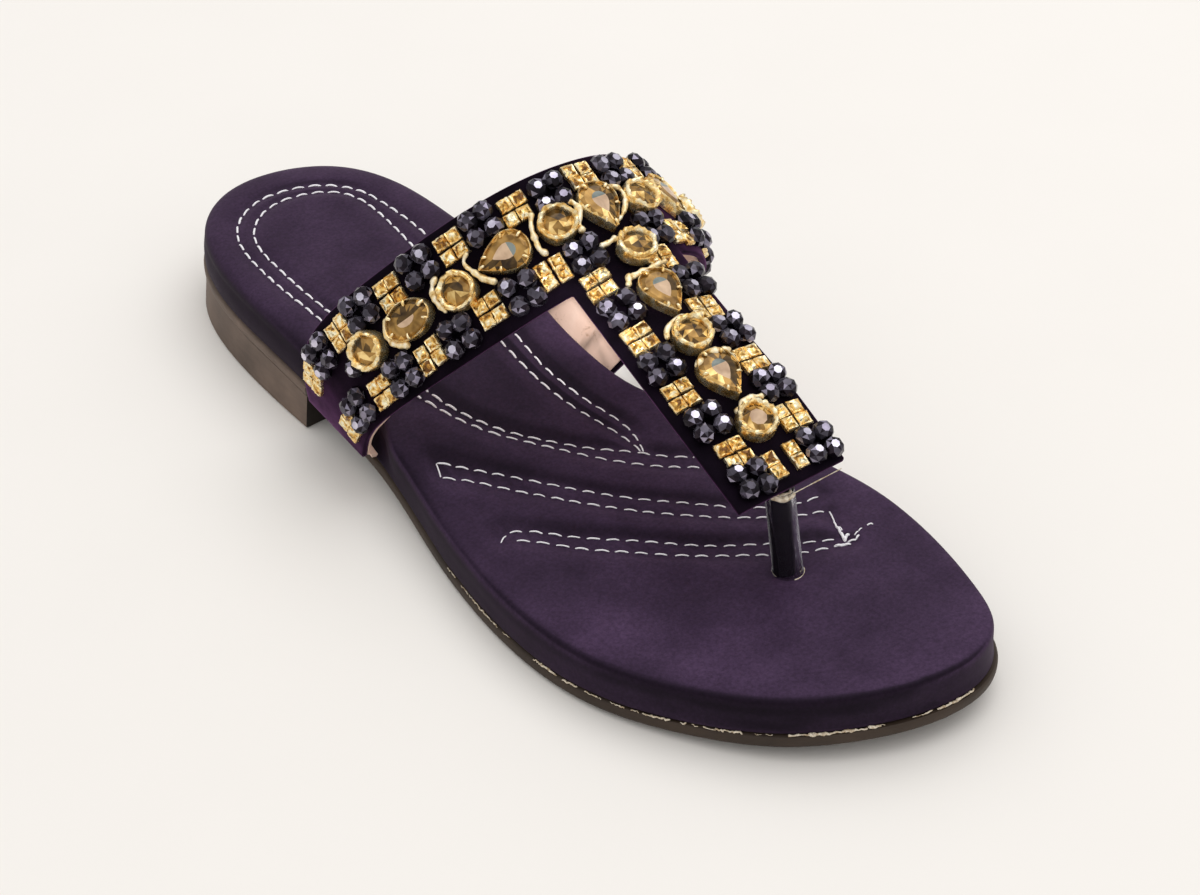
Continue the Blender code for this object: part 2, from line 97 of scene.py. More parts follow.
# ---- footbed ----
FOOTBED_GAP = 0.3
FOOTBED_INSET = 0.45
FOOTBED_INSET_TOE = 0.9
TOE_INSET_START_Y = 205
FOOTBED_THICKNESS_HEEL = 10
FOOTBED_THICKNESS_BALL = 9.5
THICKNESS_CHANGE_Y = (50, 150)
EDGE_RINGS = 34
TOP_RINGS = 44
# The padded edge at the heel, along the ball's outer side and round the toe:
# distance in from the side, share of the thickness.
HEEL_EDGE = (
    (0.9, 0), (0.2, 0.03), (0, 0.12), (0, 0.26), (0.08, 0.38), (0.25, 0.48), (0.45, 0.57),
    (0.6, 0.65), (0.75, 0.75), (1.3, 0.86), (2.7, 0.935), (5.2, 0.975), (8, 0.99),
)
BALL_EDGE = (
    (0.9, 0), (0.2, 0.03), (0, 0.12), (0, 0.28), (0.03, 0.45), (0.08, 0.6), (0.18, 0.74),
    (0.4, 0.86), (0.85, 0.94), (1.7, 0.972), (3.2, 0.982), (5.4, 0.988), (8, 0.993),
)
TOE_EDGE = (
    (0.9, 0), (0.2, 0.03), (0, 0.12), (0, 0.3), (0.02, 0.46), (0.06, 0.6), (0.14, 0.74),
    (0.3, 0.86), (0.65, 0.935), (1.4, 0.968), (2.8, 0.98), (5.2, 0.988), (8, 0.993),
)
# Where the strap's legs pull the padded edge in: y of the middle, half the length, depth, drop
# of the top's edge, side.
STRAP_DENTS = (
    (96, 14, 4.4, 1, 1),
    (113, 24, 3.2, 0, -1),
    (229, 26, 0.7, 0, -1),
)
# The shares of the padded edge where a dent and a drop set in, and the rings a drop reaches.
DENT_STARTS = (0.05, 0.3)
DROP_STARTS = (0.5, 0.8)
DROP_RINGS = 7
# Where one padded edge gives way to the next.
HEEL_EDGE_FADES_Y = (62, 105)
BALL_EDGE_FADES_Y = (175, 228)
BALL_EDGE_SIDE_X = (-5, 15)
# Soft unevenness of the padding: height, size, seed, stretch upwards.
TOP_RIPPLES = ((0.25, 26, 3, 1), (0.12, 9, 8, 1))
WALL_RIPPLES = ((0.2, 17, 5, 2.2), (0.1, 6, 2, 2))
# Patches of painted light and shade on the satin, a painted highlight where the change is above 0
# and painted shade where it is below: x, y, radius, change.
PAINTED_LIGHT_PATCHES = (
    (39, 195, 9, 0.42), (30, 214, 12, 0.22), (16, 198, 9, -0.24),
    (33, 172, 9, -0.28), (-14.5, 120, 8, -0.4), (4, 45, 45, -0.14),
    (-30, 222, 14, -0.1),
)
# The satin's painted shade and highlight on the padded side: how the painted shade of the side
# changes along the shoe, where it ends as a share of the height, the painted shade of its valley
# and the painted highlight on its rim.
WALL_SHADE_TOP = 1.6
SIDE_SHADE = 0.29
SIDE_CHANGES_Y = ((0.25, (130, 225)), (-0.06, (236, 254)))
SIDE_ENDS_UP = (0.7, 0.95)
VALLEY_UP = 0.68
VALLEY_WIDTH = 0.12
VALLEY_SHADE = 0.2
VALLEY_FADES_Y = (200, 245)
RIM_UP = 0.975
RIM_WIDTH = 0.018
RIM_HIGHLIGHT = 0.2
RIM_GROWS_Y = (120, 190)

# ---- stitching on the footbed: x, y of the places that each row passes ----
HEEL_ROW_OUTER = (
    (-9.7, 150.6), (-12.4, 144), (-13.1, 138), (-12.2, 130.5), (-11.2, 121), (-10.9, 113),
    (-12, 102), (-14.8, 82), (-17.8, 62), (-19.5, 48), (-19.8, 36), (-18.3, 25.5),
    (-13, 18), (-5.5, 13.9), (2, 12.9), (9.5, 15), (16.5, 21), (20.6, 30), (22.7, 43),
    (23.6, 55), (23.7, 69), (23.2, 84), (21.6, 98), (19.3, 109.5), (15.1, 121), (8.9, 131),
    (2.2, 141.7), (-5.1, 152.4), (-11.4, 159.7), (-18.2, 165.4), (-24, 169),
)
HEEL_ROW_INNER = (
    (-9.4, 150.1), (-9.9, 144), (-9.3, 137), (-7.9, 128.7), (-6.9, 118), (-7, 110),
    (-7.8, 98), (-9.8, 78), (-12.8, 58), (-15.1, 45.5), (-16.3, 35), (-15.2, 26),
    (-10.5, 20.4), (-3, 17.3), (5, 18), (12.2, 22.8), (16.4, 29.7), (18.6, 41.5),
    (20, 55), (20.3, 68), (20, 84), (18.7, 97), (16.2, 112), (12, 122.7), (5.8, 132.4),
    (-0.9, 141.3), (-8.2, 149.4), (-12.7, 155.4), (-18.5, 160.7), (-24, 164.4),
)
BALL_ROW_BACK = (
    (30.8, 123.4), (25.1, 131), (19.7, 138), (12.3, 149.4), (4.6, 160.8), (-3.6, 170.4),
    (-10.5, 178.5), (-16, 184), (-23, 188.6), (-29.5, 189.6),
)
BALL_ROW_FRONT = (
    (33, 128.2), (28.9, 132.5), (24.3, 138.8), (17.2, 149.8), (9.7, 161), (1.9, 170.9),
    (-6.5, 180), (-13.5, 186.6), (-21.5, 192.4), (-26.8, 194.9),
)
BALL_END = ((30.8, 123.4), (33, 128.2))
TOE_ROW_BACK = (
    (36.6, 154.5), (33.6, 152.6), (29.7, 154.8), (24.5, 161.3), (18.7, 168.1), (11.8, 175.4),
    (5.6, 182.4), (-1.1, 188.8), (-8, 194.2), (-15, 199.9), (-21.2, 203.9),
)
TOE_ROW_FRONT = (
    (33.4, 155.8), (28.1, 162.1), (23.3, 168.8), (17.5, 175.2), (9.2, 184.2), (2.7, 190.1),
    (-4.3, 196.2), (-12.3, 202.3), (-17.5, 204.8), (-22, 207.1),
)
TOE_END = ((-26.8, 194.9), (-24.4, 199.2))
STITCH_ROWS = (HEEL_ROW_OUTER, HEEL_ROW_INNER, BALL_ROW_BACK, BALL_ROW_FRONT,
               TOE_ROW_BACK, TOE_ROW_FRONT)
STITCH_ENDS = (BALL_END, TOE_END)
STITCH_PITCH = 4.4
STITCH_SHARE = 0.76
STITCH_LEAD = 0.04
STITCH_WANDER = 0.12
STITCH_ARCH = (-0.3, 0.05, 0.2, 0.24, 0.2, 0.05, -0.3)
# A place lower than this isn't on the footbed's top.
LOWEST_STITCH = 8
THREAD_RADIUS = 0.29
THREAD_RADIUS_BALL = 0.185
FINER_THREAD_Y = (95, 140)
KNOT_LUMPS = 0.35
QUILT_DEPTH = 0.75
QUILT_WIDTH = 2.3
POST_DIMPLE = 0.35
POST_DIMPLE_REACH = 2.5
# The tied-off end of the toe stitching: thickness, then x, y of each thread's places.
KNOT_THREADS = (
    (0.22, (-24.6, 198.6), (-23.4, 200.8)),
    (0.36, (-23.5, 200.6), (-22.7, 202.6), (-21.6, 205)),
    (0.18, (-23.9, 200.9), (-23.3, 202.6)),
    (0.38, (-21.4, 205.3), (-22.4, 204.6), (-23.4, 204.6)),
    (0.27, (-18.4, 204.9), (-19.8, 206.2), (-21.7, 207)),
    (0.24, (-21.6, 206), (-23.4, 206.8), (-24.8, 206.4)),
    (0.16, (-24, 205.7), (-25.6, 205.4), (-27, 205.2)),
    (0.2, (-28.5, 205.2), (-29.9, 205.8)),
)

# Runs of glue along the sole's outline from the heel by the outer side: start and end, radius,
# share of the run that is covered.
SEAM_RUNS = (
    (161, 165, 0.15, 0.7), (167, 172, 0.09, 0.4), (173, 182, 0.13, 0.85),
    (183, 193, 0.12, 0.6), (199, 212, 0.19, 0.75), (214.5, 218, 0.15, 0.9),
    (221, 229, 0.13, 0.55), (229, 250.5, 0.16, 0.55), (250.5, 261, 0.07, 0.25),
    (261, 279, 0.28, 0.9), (279.5, 285, 0.1, 0.4), (285.2, 290.5, 0.16, 0.8),
    (293.7, 302.5, 0.22, 0.9), (350, 420, 0.12, 0.3),
)
CHIP_LENGTH = (0.5, 1.7)
CHIP_PROUD = 0.15
CHIP_STRAY = 0.1
CHIP_LIFT = 0.2
CHIP_LUMPS = 1.1

# ---- strap: the instep band and the bar to the toe post ----
WALL = 2.2
VELVET = 1.45
LINING = 0.65
# The band's outer face: place, then x, y, z of its back edge and of its front edge.
BAND_SECTIONS = (
    (-98, 37.7, 81.5, 11.9, 38.5, 104.5, 8.2),
    (-84, 39.9, 85, 29, 39.3, 109.5, 18.5),
    (-70, 36.5, 92, 42.5, 36, 117.5, 29),
    (-56, 29.3, 99, 52.3, 29, 125.3, 38.3),
    (-42, 20.5, 105.5, 61, 20.5, 132.3, 46.7),
    (-28, 10, 111.3, 68.5, 10.5, 138.3, 54.2),
    (-14, -2.3, 115.5, 73.3, -1.7, 142.6, 59.5),
    (0, -16, 117.4, 74.1, -15.4, 144.7, 61.1),
    (14, -29.3, 116.4, 70.3, -28.7, 144.6, 57),
    (28, -39, 112.5, 61.5, -37.6, 141, 48.7),
    (42, -44, 107.5, 49.7, -41, 135.2, 37.5),
    (56, -41, 101.8, 36.8, -37.3, 129, 26),
    (70, -35.6, 96.3, 24, -32, 122.6, 15.2),
    (84, -31, 91.5, 10.4, -29.6, 116.5, 6.3),
)
# On the inner side the band bulges outwards, most at two thirds of its width.
BULGE = 1.5
BULGE_WAY = (-0.8, 0.25, 0.55)
BULGE_GROWS = (4, 26)
BULGE_FADES = (50, 78)
BULGE_CURVE = 6.75
# The inner leg widens backwards above its foot by a share of its width; the lining's margin sets
# in above the outer leg's foot.
INNER_LEG_WIDENS = (58, 70)
INNER_LEG_EXTRA = 0.13
MARGIN_STARTS = (-80, -66)
LINING_MARGIN = 0.035
# The fold of the lining on the inner leg, the painted shade of its crease and of the crease's
# branch: the y where each meets the floor, how much y grows with z, width and strength.
FOLD_Y = 100.6
FOLD_SLOPE = 0.75
FOLD_WIDTH = 1.6
FOLD_DEPTH = 0.6
FOLD_SIDE_X = (-32, -20)
CREASE_Y = 99.1
CREASE_WIDTH = 1.5
CREASE_SHADE = 0.58
CREASE_SIDE_X = (-27, -20)
CREASE_FADES_Z = (14, 19)
BRANCH_Y = 126
BRANCH_SLOPE = -1.15
BRANCH_WIDTH = 1.8
BRANCH_SHADE = 0.22
BRANCH_GROWS_Y = (108, 112)
# The lining's loose end at the outer leg's foot: way in, way down, share of its wave.
FLAP_PROFILE = ((1.9, 1, 0), (1.9, 0.3, 0), (3.8, 0.7, 1), (6.3, 1.2, 1), (6.3, 1.9, 0))
# A height in the hollow under the strap: the strap's outer face turns away from it.
FOOT_HOLLOW_Z = 25
BAR_BACK_OUTER = -19.4
BAR_BACK_INNER = 11
BAR_LENGTH = 66
# The bar's edges: share of its length, x, y, z of the outer edge and of the inner edge.
BAR_SECTIONS = (
    (0.33, 6.2, 162.3, 51.8, -23.6, 164.8, 52.4),
    (0.67, 8.5, 183.4, 44.8, -21.4, 185.8, 46.2),
    (1, 10.8, 204.5, 37.8, -18.9, 206.2, 38.2),
)
LEG_STEPS = 54
BAND_COLUMNS = 20
BAR_COLUMNS = 20
BAR_ROWS = 46

# ---- toe post ----
POST_FOOT = (-4.6, 204.6)
POST_TOP = (-3.2, 201.8)
SLEEVE_RADIUS = 3.4
SLEEVE_BORE = 2.6
CORE_RADIUS = 2.45
POST_TOP_GAP = 0.35
POST_SEGMENTS = 48
SLEEVE_SUNK = 1.3
# The sleeve's outside and inside: what is added to its radius, share of its height. The core:
# share of its radius, share of its height.
SLEEVE_OUTSIDE = ((-0.25, 0), (0.1, 0.01), (0.25, 0.045), (0.18, 0.06), (0, 0.075),
                  (0.05, 0.3), (0, 0.6), (0, 0.97), (-0.1, 1))
SLEEVE_INSIDE = ((0, 1), (0, 0.5), (0, 0.02), (0.15, 0))
CORE_PROFILE = ((0.9, 0), (1, 0.02), (1, 0.5), (1, 1))
# Glue round the sleeve's foot: first and last angle in degrees, thickness.
FOOT_GLUE = ((-50, 10, 0.1), (70, 165, 0.13))
BAR_GLUE_START = -35
BAR_GLUE_TURN = 150

# ---- set stones: length, width of the setting ----
STONE_SIZES = {
    "round": (9.4, 9.4),
    "oval": (12.6, 9),
    "drop": (13.2, 9.6),
}
# name, kind, place along the band, share of its width, turn in degrees
BAND_STONES = (
    ("outer_1", "round", -66, 0.48, 0),
    ("outer_2", "oval", -53, 0.48, 0),
    ("outer_3", "round", -39.5, 0.52, 0),
    ("outer_4", "drop", -26.5, 0.48, 180),
    ("outer_5", "round", -12.9, 0.48, 0),
    ("middle", "drop", -1.9, 0.49, -90),
    ("inner_1", "round", 8.9, 0.5, 0),
    ("inner_2", "drop", 18.8, 0.5, -90),
    ("inner_3", "round", 28.7, 0.6, 0),
    ("inner_4", "oval", 41.3, 0.56, 0),
    ("inner_5", "round", 54.4, 0.51, 0),
)
# name, kind, share of the bar's length, share of its width, turn from the way to the toe
BAR_STONES = (
    ("bar_1", "round", -0.03, 0.58, 0),
    ("bar_2", "drop", 0.17, 0.55, 0),
    ("bar_3", "round", 0.37, 0.53, 0),
    ("bar_4", "drop", 0.552, 0.53, 0),
    ("bar_5", "round", 0.757, 0.53, 0),
)
# Per kind of stone: height and thickness of the gold cup round it.
BEZELS = {
    "round": (3.8, 1.4),
    "oval": (3.2, 0.55),
    "drop": (2.8, 0.42),
}
# Per kind: how far the lip's outline wavers, how many small prongs lean in over the stone.
BEZEL_WAVER = {"round": 0.06, "oval": 0.02, "drop": 0.014}
PRONGS = {"round": 0, "oval": 6, "drop": 6}
BEZEL_SEGMENTS = 56
# A cup's wall from the strap up, over the lip and down to the stone: share of the wall inwards,
# share of the height.
BEZEL_PROFILE = ((0.05, 0), (-0.06, 0.25), (0, 0.55), (-0.03, 0.82), (0.12, 0.96), (0.4, 1.03),
                 (0.7, 0.98), (0.95, 0.85), (1.05, 0.5))
CRIMPS = 17
ROPE_TWIST = 5
LIP_WAVE = 1.1
ROUND_LIP_JAG = 0.7
LONG_LIP_JAG = 0.2
CRIMP_JAG = 0.22
ROPED_STONE = "bar_5"
# A prong's reach past the wall, its levels as shares of the cup's height, its radius.
PRONG_REACH = 0.85
PRONG_LEVELS = (0.92, 1.1, 1.06)
PRONG_RADIUS = (0.3, 0.42)
# A round stone's rings: share of the girdle, share of the cup's height. A long one's levels, and
# its table as a share of the girdle with its shift.
ROUND_GEM_SIDES = 9
ROUND_GEM_RINGS = ((1, 0.7), (0.6, 0.86))
ROUND_GEM_POINT = 0.98
LONG_GEM_SIDES = 18
LONG_GEM_LEVELS = (0.76, 0.98, 1.1)
LONG_GEM_TABLES = {"oval": (0.42, 0), "drop": (0.47, -0.35)}
# Which crystal colour a facet takes; per colour: name, dark, light, share of metal. Smoke and brown
# are the crystal's own colours; pale and teal are painted reflections on the tables, and gold is a
# painted glint.
PALE_REFLECTION, TEAL_REFLECTION, SMOKE, BROWN, GOLD_GLINT = range(5)
CRYSTAL_COLOURS = (
    ("crystal_pale_painted_reflection", (0.46, 0.3, 0.19), (0.66, 0.46, 0.3), 0),
    ("crystal_teal_painted_reflection", (0.12, 0.15, 0.14), (0.24, 0.27, 0.25), 0),
    ("crystal_smoke", (0.03, 0.015, 0.004), (0.14, 0.078, 0.022), 0.45),
    ("crystal_brown", (0.17, 0.085, 0.016), (0.46, 0.26, 0.07), 0.45),
    ("crystal_gold_painted_glint", (0.5, 0.28, 0.06), (1, 0.72, 0.3), 0.45),
)

# ---- small stones: where the middle of each group of four lies ----
CELL = 3.3
CELL_PITCH = 3.62
CELL_HEIGHT = 1.35
# A square's grid lines as shares of half its side, its level per ring of them from the middle,
# how far points are shaken inside and on the rim, and its tilt.
CELL_LINES = (-1, -0.86, -0.7, -0.36, 0, 0.36, 0.7, 0.86, 1)
CELL_LEVELS = (1.05, 1, 0.72, 0.85, 0.6)
CELL_SHAKE = 0.2
CELL_RIM_SHAKE = 0.07
CELL_TILT = 0.09
BEAD_RADIUS = 2.5
BEAD_HEIGHT = 3.3
BEAD_PITCH_ALONG = 4.6
BEAD_PITCH_ACROSS = 4.8
BEAD_SIDES = 7
BEAD_TILT = 0.16
# A bead's girdles: share of its radius, share of its height, turn in facets.
BEAD_RINGS = ((0.62, 0, 0), (0.97, 0.26, 0.5), (1, 0.5, 0), (0.82, 0.82, 0.5),
              (0.4, 1, 0))
# The beads' gunmetal glass, one material per facet: name, dark, light. Black is the glass's own
# colour; grey and lilac are painted reflections and the table's colour is a painted highlight.
BEAD_COLOURS_AND_REFLECTIONS = (
    ("bead_black", (0.004, 0.003, 0.005), (0.02, 0.013, 0.02)),
    ("bead_grey_painted_reflection", (0.034, 0.029, 0.04), (0.105, 0.095, 0.12)),
    ("bead_lilac_painted_reflection", (0.16, 0.142, 0.185), (0.36, 0.325, 0.42)),
    ("bead_table_painted_highlight", (0.4, 0.37, 0.47), (0.8, 0.76, 0.88)),
)
# place along the band, share of its width
BAND_SQUARES = (
    (-86.5, 0.2), (-70, 0.2), (-53, 0.2), (-35.3, 0.19), (-18.6, 0.2), (-0.6, 0.165),
    (14.8, 0.17), (31.5, 0.18), (48.5, 0.2), (65.5, 0.2),
    (-87, 0.8), (-70.4, 0.81), (-54.5, 0.8), (-36.5, 0.77), (-19.9, 0.78),
    (14, 0.83), (29.5, 0.81), (46, 0.8), (62.5, 0.8),
)
BAND_BEADS = (
    (-78, 0.215), (-61.7, 0.18), (-43.8, 0.18), (-26.8, 0.175), (-10, 0.225),
    (7.6, 0.21), (23.3, 0.18), (40, 0.19), (57, 0.2), (74, 0.2),
    (-79.3, 0.8), (-62.8, 0.8), (-45.5, 0.8), (-27.9, 0.8), (-11.6, 0.79),
    (6, 0.78), (21, 0.81), (37.8, 0.8), (54.3, 0.8), (71, 0.8),
)
# distance along the bar, share of its width
BAR_SQUARES = (
    (1.6, 0.2), (18.7, 0.19), (35.8, 0.18), (53.8, 0.25),
    (1.2, 0.73), (18.6, 0.79), (35.4, 0.84), (52.1, 0.82),
)
BAR_BEADS = (
    (10.6, 0.21), (27.6, 0.2), (44.8, 0.22), (61, 0.23),
    (10.4, 0.84), (26.7, 0.84), (43.5, 0.84), (60.6, 0.86),
)
# Two lone pairs at the bar's end.
BAR_PAIRS = ((60.6, 0.455), (60.2, 0.652))
LONE_BEADS = ((-72, 0.51),)
# ---- twisted gold wire round the set stones: place (on the bar: distance along), share of width
BAND_WIRES = (
    ((-57.5, 0.38), (-59, 0.43), (-59.6, 0.5), (-59.4, 0.57), (-57, 0.64)),
    ((-42, 0.34), (-43.6, 0.38), (-44.7, 0.45), (-44.8, 0.53), (-44.5, 0.6)),
    ((-33, 0.32), (-34.5, 0.36), (-34.1, 0.46), (-33, 0.56), (-31.5, 0.62)),
    ((-16.5, 0.32), (-17.7, 0.38), (-18.6, 0.45), (-19.2, 0.53), (-19.5, 0.6), (-19, 0.64)),
    ((-8.5, 0.34), (-7.4, 0.38), (-7, 0.44), (-7.7, 0.5), (-9, 0.55), (-9.5, 0.62)),
    ((-8, 0.8), (-6.4, 0.8), (-4.5, 0.79)),
)
# A thinner ring of wire at the foot of the drop in the middle.
THIN_WIRES = (
    ((1, 0.4), (2.7, 0.36), (4.6, 0.38), (4.8, 0.46), (3.4, 0.54), (1, 0.62), (-1, 0.66)),
)
BAR_WIRES = (
    ((4, 0.4), (6, 0.36)),
    ((4.5, 0.42), (4.5, 0.5), (4.4, 0.58), (4, 0.65), (3.9, 0.71)),
    ((22.6, 0.35), (20.9, 0.38), (19.7, 0.45), (19.4, 0.53), (20, 0.6), (20.6, 0.67)),
    ((32, 0.4), (31.5, 0.46)),
    ((30.8, 0.55), (31.2, 0.62), (31.8, 0.69)),
    ((46.3, 0.44), (45.3, 0.5), (44.9, 0.58), (45.6, 0.67)),
)
WIRE_RADIUS = 0.76
WIRE_RADIUS_THIN = 0.5
WIRE_HEIGHT = 2.1

# ---- how small forms are built ----
# Points nearer to each other than this are joined.
SAME_POINT = 0.003
# Where a tube's rings start, roughly, and the size of its lumps.
TUBE_SIDE = (0.31, 0.17, 0.94)
TUBE_LUMP = 1.6
# A tube's rounded end: way out and reach, as shares of its radius.
TUBE_END = ((0.8, 0.35), (0.35, 0.8))
# How far above the strap a ray starts that finds it.
SEEK = 6

# ---- stage, in metres and watts; the fill's target and the camera in the layout ----
FLOOR_HALF = 3
FLOOR_DROP = 0.0002
# The sky from below the horizon to overhead: share of the way, brightness.
SKY = ((0, 0.62), (0.2, 0.56), (0.4, 0.63), (0.62, 0.72), (0.85, 0.95), (1, 1))
SKY_STRENGTH = 1.06
SOFTBOX_PLACE = (-0.62, 0, 1.5)
SOFTBOX_SIZE = (1.6, 1.3)
SOFTBOX_WATTS = 7.2
FILL_TARGET = (-29.5, 106, 15)
FILL_OFFSET = (0.263, 0.317, 0.287)
FILL_WATTS = 11.5
FILL_ANGLE = 3.5
CAMERA_PLACE = (290.9, 492.2, 364.5)
CAMERA_TARGET = (-13.32, 130.33, 0)
CAMERA_ROLL = -0.776
CAMERA_LENS = 73.5


# ---------------------------------------------------------------- layout

def spline(knots, values):
    """A natural cubic spline through rows of values, as a function of one number."""
    knots = np.asarray(knots, float)
    values = np.asarray(values, float)
    count = len(knots)
    steps = np.diff(knots)
    system = np.eye(count)
    right = np.zeros_like(values)
    for i in range(1, count - 1):
        system[i, i - 1] = steps[i - 1]
        system[i, i] = 2 * (steps[i - 1] + steps[i])
        system[i, i + 1] = steps[i]
        right[i] = 6 * ((values[i + 1] - values[i]) / steps[i]
                        - (values[i] - values[i - 1]) / steps[i - 1])
    bend = np.linalg.solve(system, right)

    def at(place):
        i = int(np.clip(np.searchsorted(knots, place) - 1, 0, count - 2))
        h = steps[i]
        a = (knots[i + 1] - place) / h
        b = (place - knots[i]) / h
        curve = ((a ** 3 - a) * bend[i] + (b ** 3 - b) * bend[i + 1]) * h * h / 6
        return a * values[i] + b * values[i + 1] + curve

    return at


def smooth_step(value, start, stop):
    share = min(max((value - start) / (stop - start), 0), 1)
    return share * share * (3 - 2 * share)


def bell(offset, reach, power=2):
    """1 in the middle and falling off over a reach."""
    return exp(-(offset / reach) ** power)


def travelled(points):
    """The way along a row of points up to each of them."""
    return np.concatenate([[0], np.cumsum(np.linalg.norm(np.diff(points, axis=0), axis=1))])


def part_turn(steps, count):
    """The angle of some steps when count of them make a full turn."""
    return 2 * pi * steps / count


def polar(angle, radius):
    return radius * cos(angle), radius * sin(angle)


def sole_angle(y):
    return acos(1 - 2 * y / SOLE_LENGTH)


def sole_edges():
    rows = [(0, HEEL_BACK_X, HEEL_BACK_X)]
    rows += [(sole_angle(y), inner, outer) for y, inner, outer in SOLE_SECTIONS]
    rows += [(pi, TOE_TIP_X, TOE_TIP_X)]
    table = np.array(rows)
    return spline(table[:, 0], table[:, 1:])


SOLE_EDGE = sole_edges()


def sole_outline(steps):
    """Points of the outsole's edge: along the outer side to the toe and back along the inner."""
    angles = [pi * i / steps for i in range(steps + 1)]
    ys = [SOLE_LENGTH * (1 - cos(a)) / 2 for a in angles]
    outer = [(SOLE_EDGE(a)[1], y) for a, y in zip(angles, ys)]
    inner = [(SOLE_EDGE(a)[0], y) for a, y in zip(angles, ys)]
    return outer + inner[-2:0:-1]


def shift_to_row():
    """The step from the layout to the row frame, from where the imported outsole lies."""
    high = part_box("outsole")[1]
    widest = max(x for x, _ in sole_outline(CAD_OUTLINE_STEPS))
    return Vector((high.x - widest * MM, high.y - SOLE_LENGTH * MM, 0))


SHIFT = shift_to_row()


def to_row(point):
    return Vector(point) * MM + SHIFT


def spine_point(y):
    along = min(max(y, SPINE_BACK_Y), SPINE_FRONT_Y)
    inner, outer = SOLE_EDGE(sole_angle(along))
    return (inner + outer) / 2, along


def shrunk_ring(ring, shares):
    """A ring with each point at a share of its distance from the sole's spine."""
    result = []
    for (x, y), share in zip(ring, shares):
        sx, sy = spine_point(y)
        result.append((sx + (x - sx) * share, sy + (y - sy) * share))
    return result


def inset_ring(ring, insets):
    """A ring with each point moved towards the sole's spine by a distance."""
    shares = []
    for (x, y), inset in zip(ring, insets):
        sx, sy = spine_point(y)
        shares.append(max(1 - inset / hypot(x - sx, y - sy), 0))
    return shrunk_ring(ring, shares)


def lifted(ring, height):
    return [(x, y, height(y)) for x, y in ring]


def filling_rings(ring, shares, height):
    """Rings inside a ring, at some shares of its size and at the height of their places."""
    return [lifted(shrunk_ring(ring, [share] * len(ring)), height) for share in shares]


def underside(y):
    arch = HEEL_HEIGHT * (1 - smooth_step(y, ARCH_BACK_Y, ARCH_FRONT_Y))
    lift = max((y - SPRING_START_Y) / (SOLE_LENGTH - SPRING_START_Y), 0)
    return arch + TOE_SPRING * lift ** 2


def footbed_bottom(y):
    return underside(y) + OUTSOLE_THICKNESS + FOOTBED_GAP


def footbed_thickness(y):
    change = FOOTBED_THICKNESS_BALL - FOOTBED_THICKNESS_HEEL
    return FOOTBED_THICKNESS_HEEL + change * smooth_step(y, *THICKNESS_CHANGE_Y)


def footbed_top(y):
    return footbed_bottom(y) + footbed_thickness(y)


def footbed_inset(y):
    toe = smooth_step(y, TOE_INSET_START_Y, SOLE_LENGTH)
    return FOOTBED_INSET + (FOOTBED_INSET_TOE - FOOTBED_INSET) * toe


BAND = spline([row[0] for row in BAND_SECTIONS], [row[1:] for row in BAND_SECTIONS])


def band_point(place, share):
    row = BAND(place)
    bulge = BULGE * smooth_step(place, *BULGE_GROWS) * (1 - smooth_step(place, *BULGE_FADES))
    swell = np.array(BULGE_WAY) * bulge * BULGE_CURVE * share * share * (1 - share)
    return row[:3] * (1 - share) + row[3:] * share + swell


def bar_edges():
    start = np.concatenate([band_point(BAR_BACK_OUTER, 1), band_point(BAR_BACK_INNER, 1)])
    knots = [0] + [row[0] for row in BAR_SECTIONS]
    rows = [start] + [np.array(row[1:]) for row in BAR_SECTIONS]
    return spline(knots, rows)


BAR = bar_edges()


def bar_point(along, across):
    edges = BAR(along)
    flat = edges[:3] * (1 - across) + edges[3:] * across
    root = BAR(0)
    place = BAR_BACK_OUTER + (BAR_BACK_INNER - BAR_BACK_OUTER) * across
    crown = band_point(place, 1) - (root[:3] * (1 - across) + root[3:] * across)
    return flat + crown * (1 - max(along, 0))


def ripple(x, y, z, scale, seed=0):
    """Smooth noise about -1 to 1; scale is in millimetres."""
    return noise.noise(Vector((x / scale + seed, y / scale - seed, z / scale)))


# ---------------------------------------------------------------- meshes

def linked(name, data):
    """An object of the scene made of some data."""
    obj = bpy.data.objects.new(name, data)
    bpy.context.scene.collection.objects.link(obj)
    return obj


def make_piece(name, verts, faces, materials, smooth=True, picks=None, sharp=None):
    """A mesh object in the row frame from layout points; picks gives each face's material."""
    mesh = bpy.data.meshes.new(name)
    mesh.from_pydata([to_row(v) for v in verts], [], faces)
    builder = bmesh.new()
    builder.from_mesh(mesh)
    if picks is not None:
        for face, pick in zip(builder.faces, picks):
            face.material_index = pick
    bmesh.ops.remove_doubles(builder, verts=builder.verts, dist=SAME_POINT * MM)
    bmesh.ops.recalc_face_normals(builder, faces=builder.faces)
    builder.to_mesh(mesh)
    builder.free()
    if smooth:
        mesh.shade_smooth()
        if sharp:
            mesh.set_sharp_from_angle(angle=radians(sharp))
    else:
        mesh.shade_flat()
    for material in materials:
        mesh.materials.append(material)
    return linked(name, mesh)


def dress(piece, slot, *nodes):
    """The piece rides on the shoe and stands for some CAD nodes, which are hidden; slot is not
    used.
    """
    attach(piece, "root")
    if nodes:
        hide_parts(*nodes)


def ring_faces(count, size, closed=True):
    """Quads between rings of points that follow each other."""
    faces = []
    for r in range(count - 1):
        for i in range(size if closed else size - 1):
            a, b = r * size + i, r * size + (i + 1) % size
            faces.append((a, b, b + size, a + size))
    return faces


def open_rings(rings):
    return [p for ring in rings for p in ring], ring_faces(len(rings), len(rings[0]))


def capped_rings(rings):
    """Points and faces of a closed form: quads between its rings and a flat face at each end."""
    verts, faces = open_rings(rings)
    size = len(rings[0])
    last = len(verts) - size
    return verts, faces + [tuple(range(size - 1, -1, -1)), tuple(range(last, last + size))]


